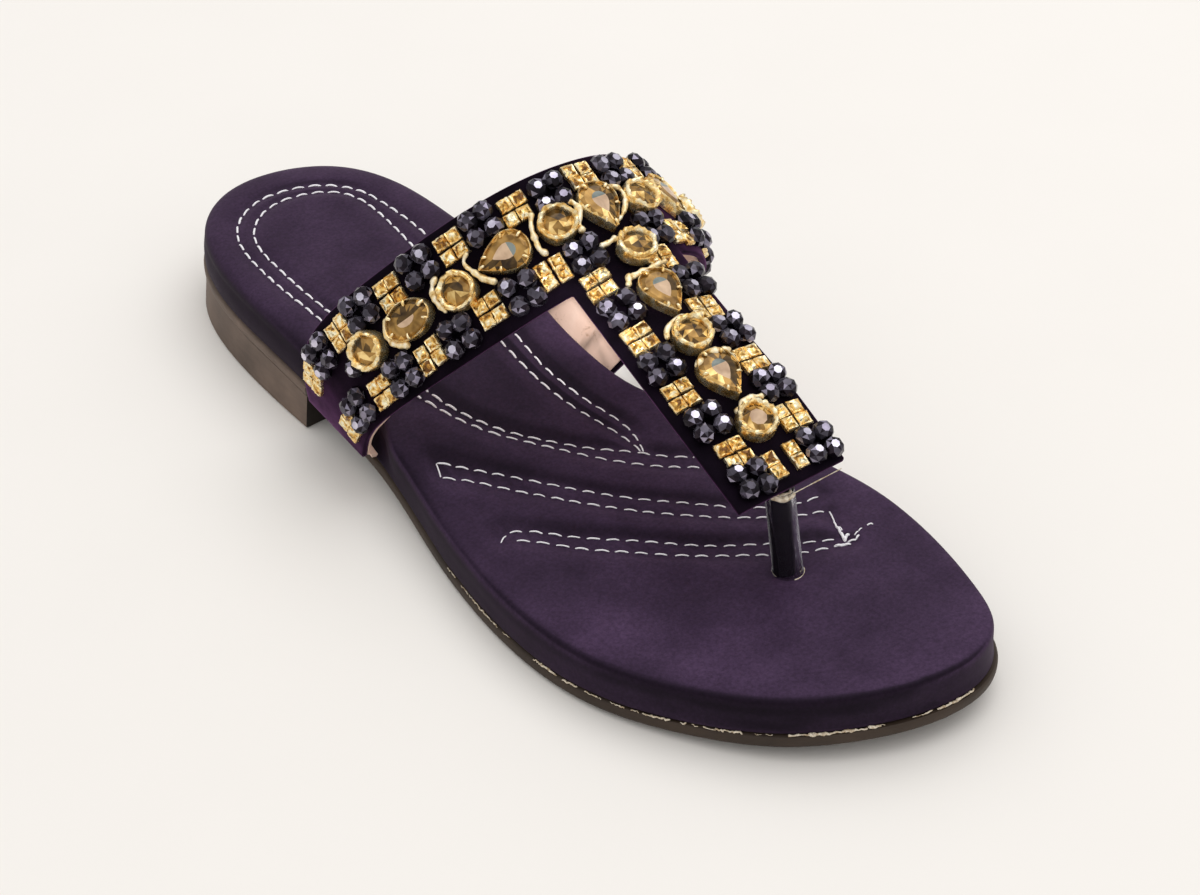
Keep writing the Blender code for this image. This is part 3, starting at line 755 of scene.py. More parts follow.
def tube(path, radius, segments=8, lumps=0, seed=0):
    """A round tube along a path of layout points, with rounded ends."""
    path = [Vector(p) for p in path]
    rings = []
    side = Vector(TUBE_SIDE)
    last = len(path) - 1
    for i, point in enumerate(path):
        ahead = (path[min(i + 1, last)] - path[max(i - 1, 0)]).normalized()
        side = (side - ahead * side.dot(ahead)).normalized()
        other = ahead.cross(side)
        r = radius * (1 + lumps * ripple(*point, TUBE_LUMP, seed))
        steps = [(0, 1)]
        if i == 0:
            steps = [(-out, reach) for out, reach in TUBE_END] + steps
        if i == last:
            steps = [(0, 1)] + [(out, reach) for out, reach in TUBE_END[::-1]]
        for offset, reach in steps:
            centre = point + ahead * offset * r
            rings.append([centre + (side * cos(a) + other * sin(a)) * (reach * r)
                          for a in (part_turn(k, segments) for k in range(segments))])
    return capped_rings(rings)


class Heap:
    """Collects small forms into one mesh."""

    def __init__(self):
        self.verts = []
        self.faces = []
        self.picks = []

    def add(self, verts, faces, picks=None, place=None):
        start = len(self.verts)
        if place is not None:
            verts = [place @ Vector(v) for v in verts]
        self.verts += [tuple(v) for v in verts]
        self.faces += [tuple(i + start for i in face) for face in faces]
        self.picks += list(picks) if picks is not None else [0] * len(faces)

    def piece(self, name, materials, smooth=False, sharp=None):
        return make_piece(name, self.verts, self.faces, materials, smooth, self.picks, sharp)


# ---------------------------------------------------------------- materials

FACING = "facing"
TWIST = "twist"


def add_node(tree, kind, **settings):
    node = tree.nodes.new(kind)
    for key, value in settings.items():
        if key in node.inputs:
            node.inputs[key].default_value = value
        else:
            setattr(node, key, value)
    return node


def grey(tree, place, field):
    """A source of grey: noise from (size in mm, detail, roughness, distortion, stretch), how far
    the surface turns from the eye, a thread's twist, or an attribute of the points."""
    if field == FACING:
        return add_node(tree, "ShaderNodeLayerWeight", Blend=0.5).outputs["Facing"]
    if field == TWIST:
        node = add_node(tree, "ShaderNodeTexWave", Scale=900, Distortion=2)
    elif isinstance(field, str):
        return add_node(tree, "ShaderNodeAttribute", attribute_name=field).outputs["Fac"]
    else:
        size, detail, roughness, distortion, stretch = field + (0, None)[len(field) - 3:]
        node = add_node(tree, "ShaderNodeTexNoise", Scale=1000 / size, Detail=detail,
                        Roughness=roughness, Distortion=distortion)
        if stretch:
            mapping = add_node(tree, "ShaderNodeMapping", Scale=stretch)
            tree.links.new(place, mapping.inputs["Vector"])
            place = mapping.outputs["Vector"]
    tree.links.new(place, node.inputs["Vector"])
    return node.outputs["Fac"]


def ramp(tree, source, stops):
    """A colour ramp; a stop is a position and a colour, or one number for a grey."""
    node = add_node(tree, "ShaderNodeValToRGB")
    elements = node.color_ramp.elements
    while len(elements) < len(stops):
        elements.new(0.5)
    for element, (position, colour) in zip(elements, stops):
        element.position = position
        element.color = (*(colour if isinstance(colour, tuple) else (colour,) * 3), 1)
    tree.links.new(source, node.inputs["Fac"])
    return node.outputs["Color"]


def value_ramp(tree, source, low, high, start=0, stop=1):
    node = add_node(tree, "ShaderNodeMapRange")
    for key, value in (("From Min", start), ("From Max", stop), ("To Min", low), ("To Max", high)):
        node.inputs[key].default_value = value
    tree.links.new(source, node.inputs["Value"])
    return node.outputs["Result"]


def look(name, colour, roughness, tints=(), ranges=(), bumps=(), **sockets):
    """A procedural material.

    Its colour is the product of ramps over greys: tints has (grey, stops). ranges has (socket,
    grey, low, high) and bumps has (grey, strength, depth in mm).
    """
    material = bpy.data.materials.new(name)
    material.use_nodes = True
    tree = material.node_tree
    shader = tree.nodes["Principled BSDF"]
    shader.inputs["Base Color"].default_value = (*colour, 1)
    shader.inputs["Roughness"].default_value = roughness
    for key, value in sockets.items():
        shader.inputs[key.replace("_", " ")].default_value = value
    place = add_node(tree, "ShaderNodeTexCoord").outputs["Object"]
    used = [row[0] for row in (*tints, *bumps)] + [row[1] for row in ranges]
    greys = {field: grey(tree, place, field) for field in dict.fromkeys(used)}
    tone = None
    for field, stops in tints:
        factor = ramp(tree, greys[field], stops)
        if tone is not None:
            mix = add_node(tree, "ShaderNodeMix", data_type="RGBA", blend_type="MULTIPLY")
            mix.inputs["Factor"].default_value = 1
            tree.links.new(tone, mix.inputs["A"])
            tree.links.new(factor, mix.inputs["B"])
            factor = mix.outputs["Result"]
        tone = factor
    if tone is not None:
        tree.links.new(tone, shader.inputs["Base Color"])
    for socket, field, *limits in ranges:
        tree.links.new(value_ramp(tree, greys[field], *limits), shader.inputs[socket])
    normal = None
    for field, strength, depth in bumps:
        node = add_node(tree, "ShaderNodeBump", Strength=strength, Distance=depth * MM)
        tree.links.new(greys[field], node.inputs["Height"])
        if normal is not None:
            tree.links.new(normal, node.inputs["Normal"])
        normal = node.outputs["Normal"]
    if normal is not None:
        tree.links.new(normal, shader.inputs["Normal"])
    return material


def satin():
    """Brushed satin with painted sheen: dark where it faces the eye, paler where it turns away."""
    clouds = (14, 4, 0.6)
    grain = (0.9, 3, 0.7)
    colour_and_painted_sheen = [(0.1, (0.01, 0.005, 0.012)), (0.25, (0.016, 0.0083, 0.0195)),
            (0.36, (0.04, 0.022, 0.0485)), (0.5, (0.0455, 0.0252, 0.0535)),
            (0.9, (0.058, 0.037, 0.064))]
    return look("footbed_satin", (0.05, 0.034, 0.06), 0.62,
                [(FACING, colour_and_painted_sheen), ("wall_shade", [(0, 0), (1, WALL_SHADE_TOP)]),
                 (clouds, [(0.3, (0.8, 0.78, 0.8)), (0.7, (1.24, 1.25, 1.23))]),
                 (grain, [(0.3, (0.72, 0.7, 0.72)), (0.7, (1.25, 1.27, 1.26))])],
                [("Roughness", grain, 0.5, 0.75)], [(clouds, 0.25, 0.3), (grain, 0.3, 0.05)],
                Sheen_Weight=0.045, Sheen_Roughness=0.4, Sheen_Tint=(0.8, 0.5, 0.9, 1),
                Specular_IOR_Level=0.07)


def velvet():
    clouds = (7, 3, 0.6)
    # Painted sheen: the velvet's colour is near black where it faces the eye and purple where it
    # turns away.
    colour_and_painted_sheen = [(0.2, (0.004, 0.0018, 0.005)), (0.42, (0.009, 0.0035, 0.010)),
            (0.62, (0.036, 0.013, 0.038)), (0.9, (0.14, 0.06, 0.14))]
    return look("strap_velvet", (0.012, 0.006, 0.015), 0.9,
                [(FACING, colour_and_painted_sheen), (clouds, [(0.3, (0.55, 0.5, 0.55)), (0.7, (1.5, 1.45, 1.5))])],
                (), [(clouds, 0.3, 0.3), ((0.45, 2, 0.7), 0.5, 0.12)],
                Sheen_Weight=0.08, Sheen_Roughness=0.3, Sheen_Tint=(0.42, 0.2, 0.45, 1),
                Specular_IOR_Level=0.06)


def lining_leather():
    clouds = (12, 4, 0.6)
    scuffs = (4, 4, 0.7, 0.6)
    return look("strap_lining", (0.86, 0.62, 0.5), 0.55,
                [(clouds, [(0.3, (0.8, 0.54, 0.42)), (0.55, (0.88, 0.62, 0.5)),
                           (0.75, (0.93, 0.7, 0.58))]),
                 (scuffs, [(0.3, (0.72, 0.66, 0.6)), (0.38, 1)]),
                 ("fold_shade", [(0, 0), (1, 1)])],
                (), [(clouds, 0.5, 0.8), ((0.7, 3, 0.6), 0.3, 0.05)], Specular_IOR_Level=0.35)


def sole_paint(name, dark, light):
    clouds = (22, 4, 0.6)
    streaks = (0.9, 3, 0.6, 0, (0.15, 0.15, 1))
    return look(name, light, 0.6,
                [(clouds, [(0.3, dark), (0.7, light)]), (streaks, [(0.3, 0.9), (0.7, 1.08)])],
                [("Roughness", clouds, 0.5, 0.7)],
                [(streaks, 0.15, 0.08), ((0.8, 3, 0.6), 0.25, 0.05)], Specular_IOR_Level=0.35)


def thread():
    return look("stitch_thread", (0.97, 0.95, 0.98), 0.5,
                [(TWIST, [(0, (0.9, 0.87, 0.91)), (1, (1, 0.98, 1))])],
                (), [(TWIST, 0.4, 0.05)], Sheen_Weight=0.5)


def gold():
    dents = (1.7, 2, 0.5)
    fine = (0.5, 2, 0.6)
    return look("gold_metal", (1, 0.72, 0.34), 0.26,
                [(dents, [(0.34, (0.66, 0.38, 0.1)), (0.46, (0.96, 0.68, 0.29)),
                          (0.62, (1, 0.88, 0.58))])],
                [("Roughness", fine, 0.18, 0.34)], [(dents, 0.32, 0.4), (fine, 0.15, 0.08)],
                Metallic=0.86)


def wire_gold():
    """Paler, duller gold of the twisted wire."""
    knots = (1.5, 2, 0.5)
    return look("wire_gold", (1, 0.84, 0.55), 0.42,
                [(knots, [(0.32, (0.55, 0.33, 0.1)), (0.46, (0.95, 0.76, 0.42)),
                          (0.66, (1, 0.9, 0.7))])],
                [("Roughness", knots, 0.5, 0.34)], [(knots, 0.6, 0.5)], Metallic=0.55)


def foil():
    """Small square crystals over crinkled gold foil."""
    crumple = (2.3, 2, 0.55, 0.5)
    fine = (0.7, 2, 0.6, 0.5)
    return look("square_foil", (0.85, 0.55, 0.16), 0.2,
                [(crumple, [(0.36, (0.16, 0.06, 0.006)), (0.44, (0.5, 0.24, 0.03)),
                            (0.52, (0.95, 0.62, 0.18)), (0.6, (1, 0.92, 0.64))])],
                [("Roughness", fine, 0.12, 0.3)], [(crumple, 0.7, 0.8), (fine, 0.3, 0.12)],
                Metallic=0.7, Coat_Weight=0.3, Coat_Roughness=0.08)


def bead_glass(name, dark, light):
    fine = (0.5, 2, 0.6)
    return look(name, light, 0.14, [((4, 3, 0.6), [(0.3, dark), (0.7, light)])],
                [("Roughness", fine, 0.08, 0.22)], [(fine, 0.1, 0.05)], Metallic=0.7,
                Coat_Weight=0.1, Coat_Roughness=0.05, Specular_IOR_Level=0.2)


def crystal_glass(name, dark, light, metallic=0.45):
    return look(name, light, 0.08, [((3, 2, 0.5, 0.4), [(0.36, dark), (0.64, light)])],
                [("Roughness", (0.6, 2, 0.5), 0.06, 0.16)], Metallic=metallic,
                Coat_Weight=0.2 * (metallic > 0), Coat_Roughness=0.03, Specular_IOR_Level=0.25)


def vinyl():
    """Clear sleeve, milky where it is seen edge on."""
    haze = (3, 3, 0.6)
    return look("post_vinyl", (0.9, 0.9, 0.93), 0.1, (),
                [("Transmission Weight", FACING, 1, 0.55, 0.55, 0.9),
                 ("Roughness", haze, 0.05, 0.22)], [(haze, 0.15, 0.3)], IOR=1.45)


def glue():
    fine = (0.8, 3, 0.6)
    return look("dried_glue", (0.62, 0.52, 0.38), 0.5,
                [(fine, [(0.35, (0.42, 0.3, 0.17)), (0.6, (0.78, 0.69, 0.55))])],
                (), [(fine, 0.5, 0.15)])


def cord():
    fine = (0.7, 3, 0.6)
    return look("post_cord", (0.006, 0.0055, 0.0065), 0.45,
                [(fine, [(0.3, (0.003, 0.0026, 0.0034)), (0.7, (0.01, 0.009, 0.011))])],
                (), [(fine, 0.4, 0.1)], Specular_IOR_Level=0.2)


def floor_paper():
    return look("floor_paper", (0.878, 0.843, 0.8), 0.85,
                [((60, 3, 0.5), [(0.3, (0.873, 0.838, 0.795)), (0.7, (0.883, 0.848, 0.805))])],
                Specular_IOR_Level=0.1)


# ---------------------------------------------------------------- sole

def heel_taupe():
    return sole_paint("heel_taupe", (0.084, 0.0565, 0.041), (0.181, 0.126, 0.096))


def outsole_top(y):
    return underside(y) + OUTSOLE_THICKNESS


def build_outsole():
    outline = sole_outline(OUTLINE_STEPS)
    rings = filling_rings(outline, FILL_SHARES, underside)
    for inset, share in OUTSOLE_EDGE:
        rings.append(lifted(inset_ring(outline, [inset] * len(outline)),
                            lambda y, k=share: underside(y) + k * OUTSOLE_THICKNESS))
    rings += filling_rings(outline, FILL_SHARES[::-1], outsole_top)
    verts, faces = open_rings(rings)
    # The outsole in front of the heel takes a darker copy of the sole's taupe, as painted shade;
    # under the heel it takes the heel's taupe.
    shaded_taupe = sole_paint("outsole_taupe_painted_shade", (0.025, 0.0148, 0.0088), (0.053, 0.0335, 0.0215))
    piece = make_piece("outsole_sheet", verts, faces, [shaded_taupe, heel_taupe()],
                       picks=[int(verts[face[0]][1] < HEEL_LENGTH) for face in faces], sharp=45)
    dress(piece, "outsole", "outsole")


def build_heel():
    rings = []
    for i in range(HEEL_STEPS + 1):
        y = HEEL_LENGTH * (1 - cos(pi / 2 * i / HEEL_STEPS))
        inner, outer = SOLE_EDGE(sole_angle(y))
        middle = (outer + inner) / 2
        half = (outer - inner) / 2
        ring = []
        for level in HEEL_LEVELS:
            flare = HEEL_FLARE * (1 - level) - HEEL_INSET_TOP * level
            if level == 0:
                flare -= HEEL_FOOT_EDGE
            reach = max(half + flare, 0) if i else 0
            place = y - flare * (1 - i / HEEL_STEPS)
            ring.append((reach, place, (underside(max(place, 0)) - HEEL_TOP_GAP) * level))
        rings.append([(middle + x, py, z) for x, py, z in ring]
                     + [(middle - x, py, z) for x, py, z in ring[::-1]])
    verts, faces = capped_rings(rings)
    breast = HEEL_LENGTH - HEEL_FLARE - 0.01
    # The heel's breast is painted near black: painted shadow under the overhanging sole.
    breast_shadow = sole_paint("breast_painted_shadow", (0.01, 0.007, 0.005), (0.026, 0.018, 0.013))
    piece = make_piece("heel_stack", verts, faces, [heel_taupe(), breast_shadow], sharp=40,
                       picks=[int(min(verts[i][1] for i in face) > breast) for face in faces])
    dress(piece, "heel_block", "heel_block")


# ---------------------------------------------------------------- footbed

def curve_points(controls, step):
    """Points about step apart on a smooth curve through the controls."""
    controls = np.array(controls, float)
    lengths = travelled(controls)
    curve = spline(lengths, controls)
    fine = np.array([curve(s) for s in np.linspace(0, lengths[-1], int(lengths[-1] / 0.4) + 2)])
    travel = travelled(fine)
    count = max(int(round(travel[-1] / step)), 1)
    places = np.linspace(0, travel[-1], count + 1)
    return np.stack([np.interp(places, travel, fine[:, k]) for k in range(fine.shape[1])], axis=1)


QUILT_LINES = [curve_points(row, 1) for row in STITCH_ROWS + STITCH_ENDS]


def strap_dent(x, y):
    """How far the strap's legs press the footbed's side in and its edge down at a place."""
    depth = drop = 0
    for middle, reach, most, down, side in STRAP_DENTS:
        if (x - spine_point(y)[0]) * side > 0:
            share = bell(y - middle, reach, 4)
            depth += most * share
            drop += down * share
    return depth, drop


def quilt_drop(points):
    """How far the stitching and the toe post pull the footbed's top down at some points."""
    drop = np.zeros(len(points))
    for line in QUILT_LINES:
        gap = np.linalg.norm(points[:, None, :] - line[None, :, :], axis=2).min(axis=1)
        drop = np.maximum(drop, np.exp(-(gap / QUILT_WIDTH) ** 2))
    post = np.linalg.norm(points - np.array(POST_FOOT), axis=1)
    dimple = np.exp(-(np.maximum(post - SLEEVE_RADIUS, 0) / POST_DIMPLE_REACH) ** 2)
    return QUILT_DEPTH * drop + POST_DIMPLE * dimple


def ripples(x, y, z, layers):
    """Noise in layers of (height, size, seed, stretch upwards)."""
    return sum(height * ripple(x, y, z * stretch, size, seed)
               for height, size, seed, stretch in layers)


def edge_weights(x, y):
    """How much of each padded edge a place of the outline has: heel, ball, toe."""
    heel = 1 - smooth_step(y, *HEEL_EDGE_FADES_Y)
    outer = smooth_step(x - spine_point(y)[0], *BALL_EDGE_SIDE_X)
    ball = (1 - heel) * (1 - smooth_step(y, *BALL_EDGE_FADES_Y)) * outer
    return heel, ball, 1 - heel - ball


# Painted light and shade of the satin in patches: a painted highlight above 1, painted shade below.
def painted_patch_light(x, y):
    return 1 + sum(change * exp(-((x - cx) ** 2 + (y - cy) ** 2) / radius ** 2)
                   for cx, cy, radius, change in PAINTED_LIGHT_PATCHES)


def wall_shade(up, y):
    """Painted light on the satin at a share of the padding's height: painted shade on the side and
    in its valley, a painted highlight on the rim.
    """
    low = SIDE_SHADE + sum(change * smooth_step(y, *reach) for change, reach in SIDE_CHANGES_Y)
    valley = bell(up - VALLEY_UP, VALLEY_WIDTH) * (1 - smooth_step(y, *VALLEY_FADES_Y))
    rim = bell(up - RIM_UP, RIM_WIDTH) * smooth_step(y, *RIM_GROWS_Y)
    side = 1 - (1 - low) * (1 - smooth_step(up, *SIDE_ENDS_UP))
    return side * (1 - VALLEY_SHADE * valley) * (1 + RIM_HIGHLIGHT * rim)


def footbed_rings():
    """Rings of the plump footbed: its underside, its padded edge and its top to the spine."""
    outline = sole_outline(OUTLINE_STEPS)
    weights = [edge_weights(x, y) for x, y in outline]
    dents = [strap_dent(x, y) for x, y in outline]
    profiles = [spline(np.linspace(0, 1, len(edge)), edge)
                for edge in (HEEL_EDGE, BALL_EDGE, TOE_EDGE)]
    rows = []
    for t in np.linspace(0, 1, EDGE_RINGS):
        shapes = [profile(t) for profile in profiles]
        mixed = [sum(w * shape for w, shape in zip(weight, shapes)) for weight in weights]
        ring = inset_ring(outline, [footbed_inset(y) + m[0] + d[0] * smooth_step(t, *DENT_STARTS)
                                    for (_, y), m, d in zip(outline, mixed, dents)])
        rows.append([(x, y, footbed_bottom(y) + m[1] * footbed_thickness(y)
                      - d[1] * smooth_step(t, *DROP_STARTS))
                     for (x, y), m, d in zip(ring, mixed, dents)])
    bottom = filling_rings([p[:2] for p in rows[0]], (0, 0.5), footbed_bottom)
    last = [p[:2] for p in rows[-1]]
    top = []
    for i in range(1, TOP_RINGS + 1):
        share = 1 - i / TOP_RINGS
        blend = 1 - (1 - HEEL_EDGE[-1][1]) * exp(-(1 - share) * 9)
        top.append([(x, y, footbed_bottom(y) + blend * footbed_thickness(y)
                     - d[1] * bell(i, DROP_RINGS))
                    for (x, y), d in zip(shrunk_ring(last, [share] * len(last)), dents)])
    return bottom + rows + top


def build_footbed():
    rings = footbed_rings()
    size = len(rings[0])
    verts, faces = open_rings(rings)
    verts = np.array(verts)
    upper = 2 + EDGE_RINGS * 2 // 3
    top = np.arange(upper * size, len(verts))
    drop = quilt_drop(verts[top, :2])
    for k, index in enumerate(top):
        x, y, z = verts[index]
        ease = smooth_step(index // size, upper, upper + 12)
        verts[index, 2] = z + ease * ripples(x, y, 0, TOP_RIPPLES) - drop[k]
    for index in range(2 * size, upper * size):
        x, y, z = verts[index]
        sx, sy = spine_point(y)
        row = index // size
        share = smooth_step(row, 2, 8) * (1 - smooth_step(row, upper - 4, upper))
        push = ripples(x, y, z, WALL_RIPPLES) * share / max(hypot(x - sx, y - sy), 1)
        verts[index, :2] += (x - sx) * push, (y - sy) * push
    piece = make_piece("footbed_cover", verts, faces, [satin()])
    # The satin's painted light and shade at each point: the patches times the padded side's painted
    # shade and rim highlight.
    shade_points(piece, "wall_shade", lambda x, y, z: painted_patch_light(x, y) / WALL_SHADE_TOP * wall_shade(
        (z - footbed_bottom(y)) / footbed_thickness(y), y))
    dress(piece, "footbed_satin", "footbed")
    return piece


def surface_finder(obj):
    bpy.context.view_layer.update()
    return BVHTree.FromObject(obj, bpy.context.evaluated_depsgraph_get())


def height_on(tree, x, y):
    hit, _, _, _ = tree.ray_cast(to_row((x, y, 60)), Vector((0, 0, -1)))
    return (hit.z / MM) if hit is not None else footbed_top(y)


def build_stitches(footbed):
    rng = np.random.default_rng(SEED)
    tree = surface_finder(footbed)
    heap = Heap()

    def sew(start, stop, radius, lumps=0):
        path = []
        for i, rise in enumerate(STITCH_ARCH):
            share = i / (len(STITCH_ARCH) - 1)
            x, y = start * (1 - share) + stop * share
            path.append((x, y, height_on(tree, x, y) + rise))
        heap.add(*tube(path, radius, 6, lumps, start[0]))

    for row in STITCH_ROWS:
        points = curve_points(row, STITCH_PITCH)
        for a, b in zip(points, points[1:]):
            if height_on(tree, *a) < LOWEST_STITCH:
                continue
            step = b - a
            share = STITCH_SHARE + rng.uniform(-0.06, 0.05)
            side = np.array([-step[1], step[0]]) / np.linalg.norm(step)
            wander = side * rng.uniform(-STITCH_WANDER, STITCH_WANDER)
            fine = smooth_step(a[1], *FINER_THREAD_Y)
            radius = THREAD_RADIUS + (THREAD_RADIUS_BALL - THREAD_RADIUS) * fine
            sew(a + step * STITCH_LEAD + wander, a + step * (STITCH_LEAD + share) - wander,
                radius * rng.uniform(0.85, 1.1))
    loose = [(THREAD_RADIUS_BALL, 0, row) for row in STITCH_ENDS]
    loose += [(radius, KNOT_LUMPS, places) for radius, *places in KNOT_THREADS]
    for radius, lumps, places in loose:
        for a, b in zip(places, places[1:]):
            sew(np.array(a, float), np.array(b, float), radius, lumps)
    dress(heap.piece("footbed_stitches", [thread()], smooth=True), "footbed_satin")


def build_seam():
    """Dried glue in chips and smears between the satin and the outsole round the forefoot."""
    rng = np.random.default_rng(SEED + 1)
    heap = Heap()
    outline = np.array(sole_outline(OUTLINE_STEPS))
    outline = np.vstack([outline, outline[:1]])
    travel = travelled(outline)
    for start, stop, thick, cover in SEAM_RUNS:
        place = start
        while place < stop:
            length = rng.uniform(*CHIP_LENGTH) * (1 + cover)
            if rng.uniform() < cover:
                path = []
                for k in range(5):
                    way = (place + length * k / 4) % travel[-1]
                    x, y = (float(np.interp(way, travel, outline[:, axis])) for axis in (0, 1))
                    stray = rng.uniform(-CHIP_STRAY, CHIP_STRAY) * (1 + thick)
                    spot, = inset_ring([(x, y)], [footbed_inset(y) - CHIP_PROUD + stray])
                    path.append((*spot, footbed_bottom(y) + rng.uniform(-CHIP_LIFT, CHIP_LIFT)))
                heap.add(*tube(path, thick * rng.uniform(0.7, 1.2), 5, CHIP_LUMPS, place))
            place += length * rng.uniform(0.7, 1)
    dress(heap.piece("seam_glue", [glue()], smooth=True), "outsole")


# ---------------------------------------------------------------- strap

def even(start, stop, count):
    """Places from a start up to but not at a stop."""
    return [start + (stop - start) * i / count for i in range(count)]


def strap_grid(margin=0):
    """Points and faces of the T's outer face, without a margin of its width at each edge."""
    def shares(place):
        low = margin - INNER_LEG_EXTRA * smooth_step(place, *INNER_LEG_WIDENS)
        high = 1 - margin * smooth_step(place, *MARGIN_STARTS)
        return even(low, high, BAND_COLUMNS) + [high]

    ends = (BAND_SECTIONS[0][0], BAR_BACK_OUTER, BAR_BACK_INNER, BAND_SECTIONS[-1][0])
    places = even(*ends[:2], LEG_STEPS) + even(*ends[1:3], BAR_COLUMNS)
    places += even(*ends[2:], LEG_STEPS) + [ends[3]]
    size = BAND_COLUMNS + 1
    verts = [band_point(p, s) for p in places for s in shares(p)]
    faces = ring_faces(len(places), size, closed=False)
    front = [(LEG_STEPS + i) * size + BAND_COLUMNS for i in range(BAR_COLUMNS + 1)]
    across = [margin + (1 - 2 * margin) * i / BAR_COLUMNS for i in range(BAR_COLUMNS + 1)]
    for row in range(1, BAR_ROWS + 1):
        start = len(verts)
        verts += [bar_point((1 - 0.2 * margin) * row / BAR_ROWS, share) for share in across]
        faces += [(front[i], start + i, start + i + 1, front[i + 1]) for i in range(BAR_COLUMNS)]
        front = list(range(start, len(verts)))
    return verts, faces


def fold_shade(x, y, z):
    """How much painted shade darkens the lining where it creases on the inner leg."""
    inner = 1 - smooth_step(x, *CREASE_SIDE_X)
    crease = bell(y - CREASE_Y - FOLD_SLOPE * z, CREASE_WIDTH)
    crease *= 1 - smooth_step(z, *CREASE_FADES_Z)
    branch = bell(y - BRANCH_Y - BRANCH_SLOPE * z, BRANCH_WIDTH) * smooth_step(y, *BRANCH_GROWS_Y)
    return 1 - inner * (CREASE_SHADE * crease + BRANCH_SHADE * branch * (1 - crease))


def shade_points(piece, name, shade):
    """A named attribute with a value at each point, from a function of the layout place."""
    shares = piece.data.attributes.new(name, "FLOAT", "POINT")
    for vertex, share in zip(piece.data.vertices, shares.data):
        share.value = shade(*((vertex.co - SHIFT) / MM))


def strap_layer(name, material, depth, thickness, soft, margin=0):
    """One layer of the strap's wall, its outer face at a depth under the strap's outer face."""
    verts, faces = strap_grid(margin)
    piece = make_piece(name, verts, faces, [material])
    mesh = piece.data
    crown = max(mesh.polygons, key=lambda p: p.center.z)
    if crown.normal.z < 0:
        mesh.flip_normals()
    if depth:
        normals = [v.normal.copy() for v in mesh.vertices]
        for vert, normal in zip(mesh.vertices, normals):
            x, y, z = (vert.co - SHIFT) / MM
            inner = 1 - smooth_step(x, *FOLD_SIDE_X)
            fold = FOLD_DEPTH * inner * bell(y - FOLD_Y - FOLD_SLOPE * z, FOLD_WIDTH)
            vert.co -= normal * (depth + fold) * MM
    wall = piece.modifiers.new("wall", "SOLIDIFY")
    wall.thickness = thickness * MM
    wall.offset = -1
    edge = piece.modifiers.new("edge", "BEVEL")
    edge.width = soft * MM
    edge.segments = 3
    edge.limit_method = "ANGLE"
    edge.angle_limit = radians(55)
    return piece


def build_strap():
    strap = strap_layer("strap_velvet", velvet(), 0, VELVET, 0.5)
    dress(strap, "strap_velvet", "upper")
    leather = lining_leather()
    lining = strap_layer("strap_lining", leather, VELVET + 0.04, LINING, 0.2, LINING_MARGIN)
    rings = []
    for i in range(15):
        x, y, z = band_point(-96, 0.12 + 0.92 * i / 14)
        wave = 0.3 * ripple(x, y, z, 4, 31)
        rings.append([(x - out, y, z - down + wave * waves)
                      for out, down, waves in FLAP_PROFILE])
    flap = make_piece("strap_flap", *capped_rings(rings), [leather], sharp=50)
    for piece in (lining, flap):
        shade_points(piece, "fold_shade", fold_shade)
        dress(piece, "strap_velvet")
    return strap


# ---------------------------------------------------------------- trim on the strap

def surface_frame(point, place, share, reach, turn):
    """A matrix in the layout at a place of the band or bar: x along it, z out of the strap."""
    origin = Vector(point(place, share))
    forward = point(place + reach, share) - point(place - reach, share)
    sideways = point(place, share + 0.05) - point(place, share - 0.05)
    x_axis = Vector(forward).normalized()
    z_axis = x_axis.cross(Vector(sideways)).normalized()
    if z_axis.dot(origin - Vector((0, origin.y, FOOT_HOLLOW_Z))) < 0:
        z_axis.negate()
    base = Matrix((x_axis, z_axis.cross(x_axis), z_axis)).transposed().to_4x4()
    return Matrix.Translation(origin) @ base @ Matrix.Rotation(radians(turn), 4, "Z")


def band_frame(place, share, turn=0):
    return surface_frame(band_point, place, share, 2, turn)


def bar_frame(along, across, turn=0):
    return surface_frame(bar_point, along, across, 0.03, turn)


def strap_frames(band, bar):
    """Frames at places along the band and at distances along the bar."""
    return ([band_frame(place, share) for place, share in band]
            + [bar_frame(along / BAR_LENGTH, share) for along, share in bar])


def seated(matrix, reach, tree):
    """The frame moved along its own z until a disc of some reach just clears the strap."""
    up = matrix.col[2].to_3d().normalized()
    lift = -1
    spots = [(*polar(part_turn(k, 8), reach), 0) for k in range(8)] + [(0, 0, 0)]
    for spot in spots:
        start = to_row(matrix @ Vector(spot) + up * SEEK)
        hit, _, _, distance = tree.ray_cast(start, -up, 2 * SEEK * MM)
        if hit is not None:
            lift = max(lift, SEEK - distance / MM)
    return Matrix.Translation(up * lift) @ matrix


def random_tilt(rng, most):
    return (Matrix.Rotation(rng.uniform(-most, most), 4, "X")
            @ Matrix.Rotation(rng.uniform(-most, most), 4, "Y"))


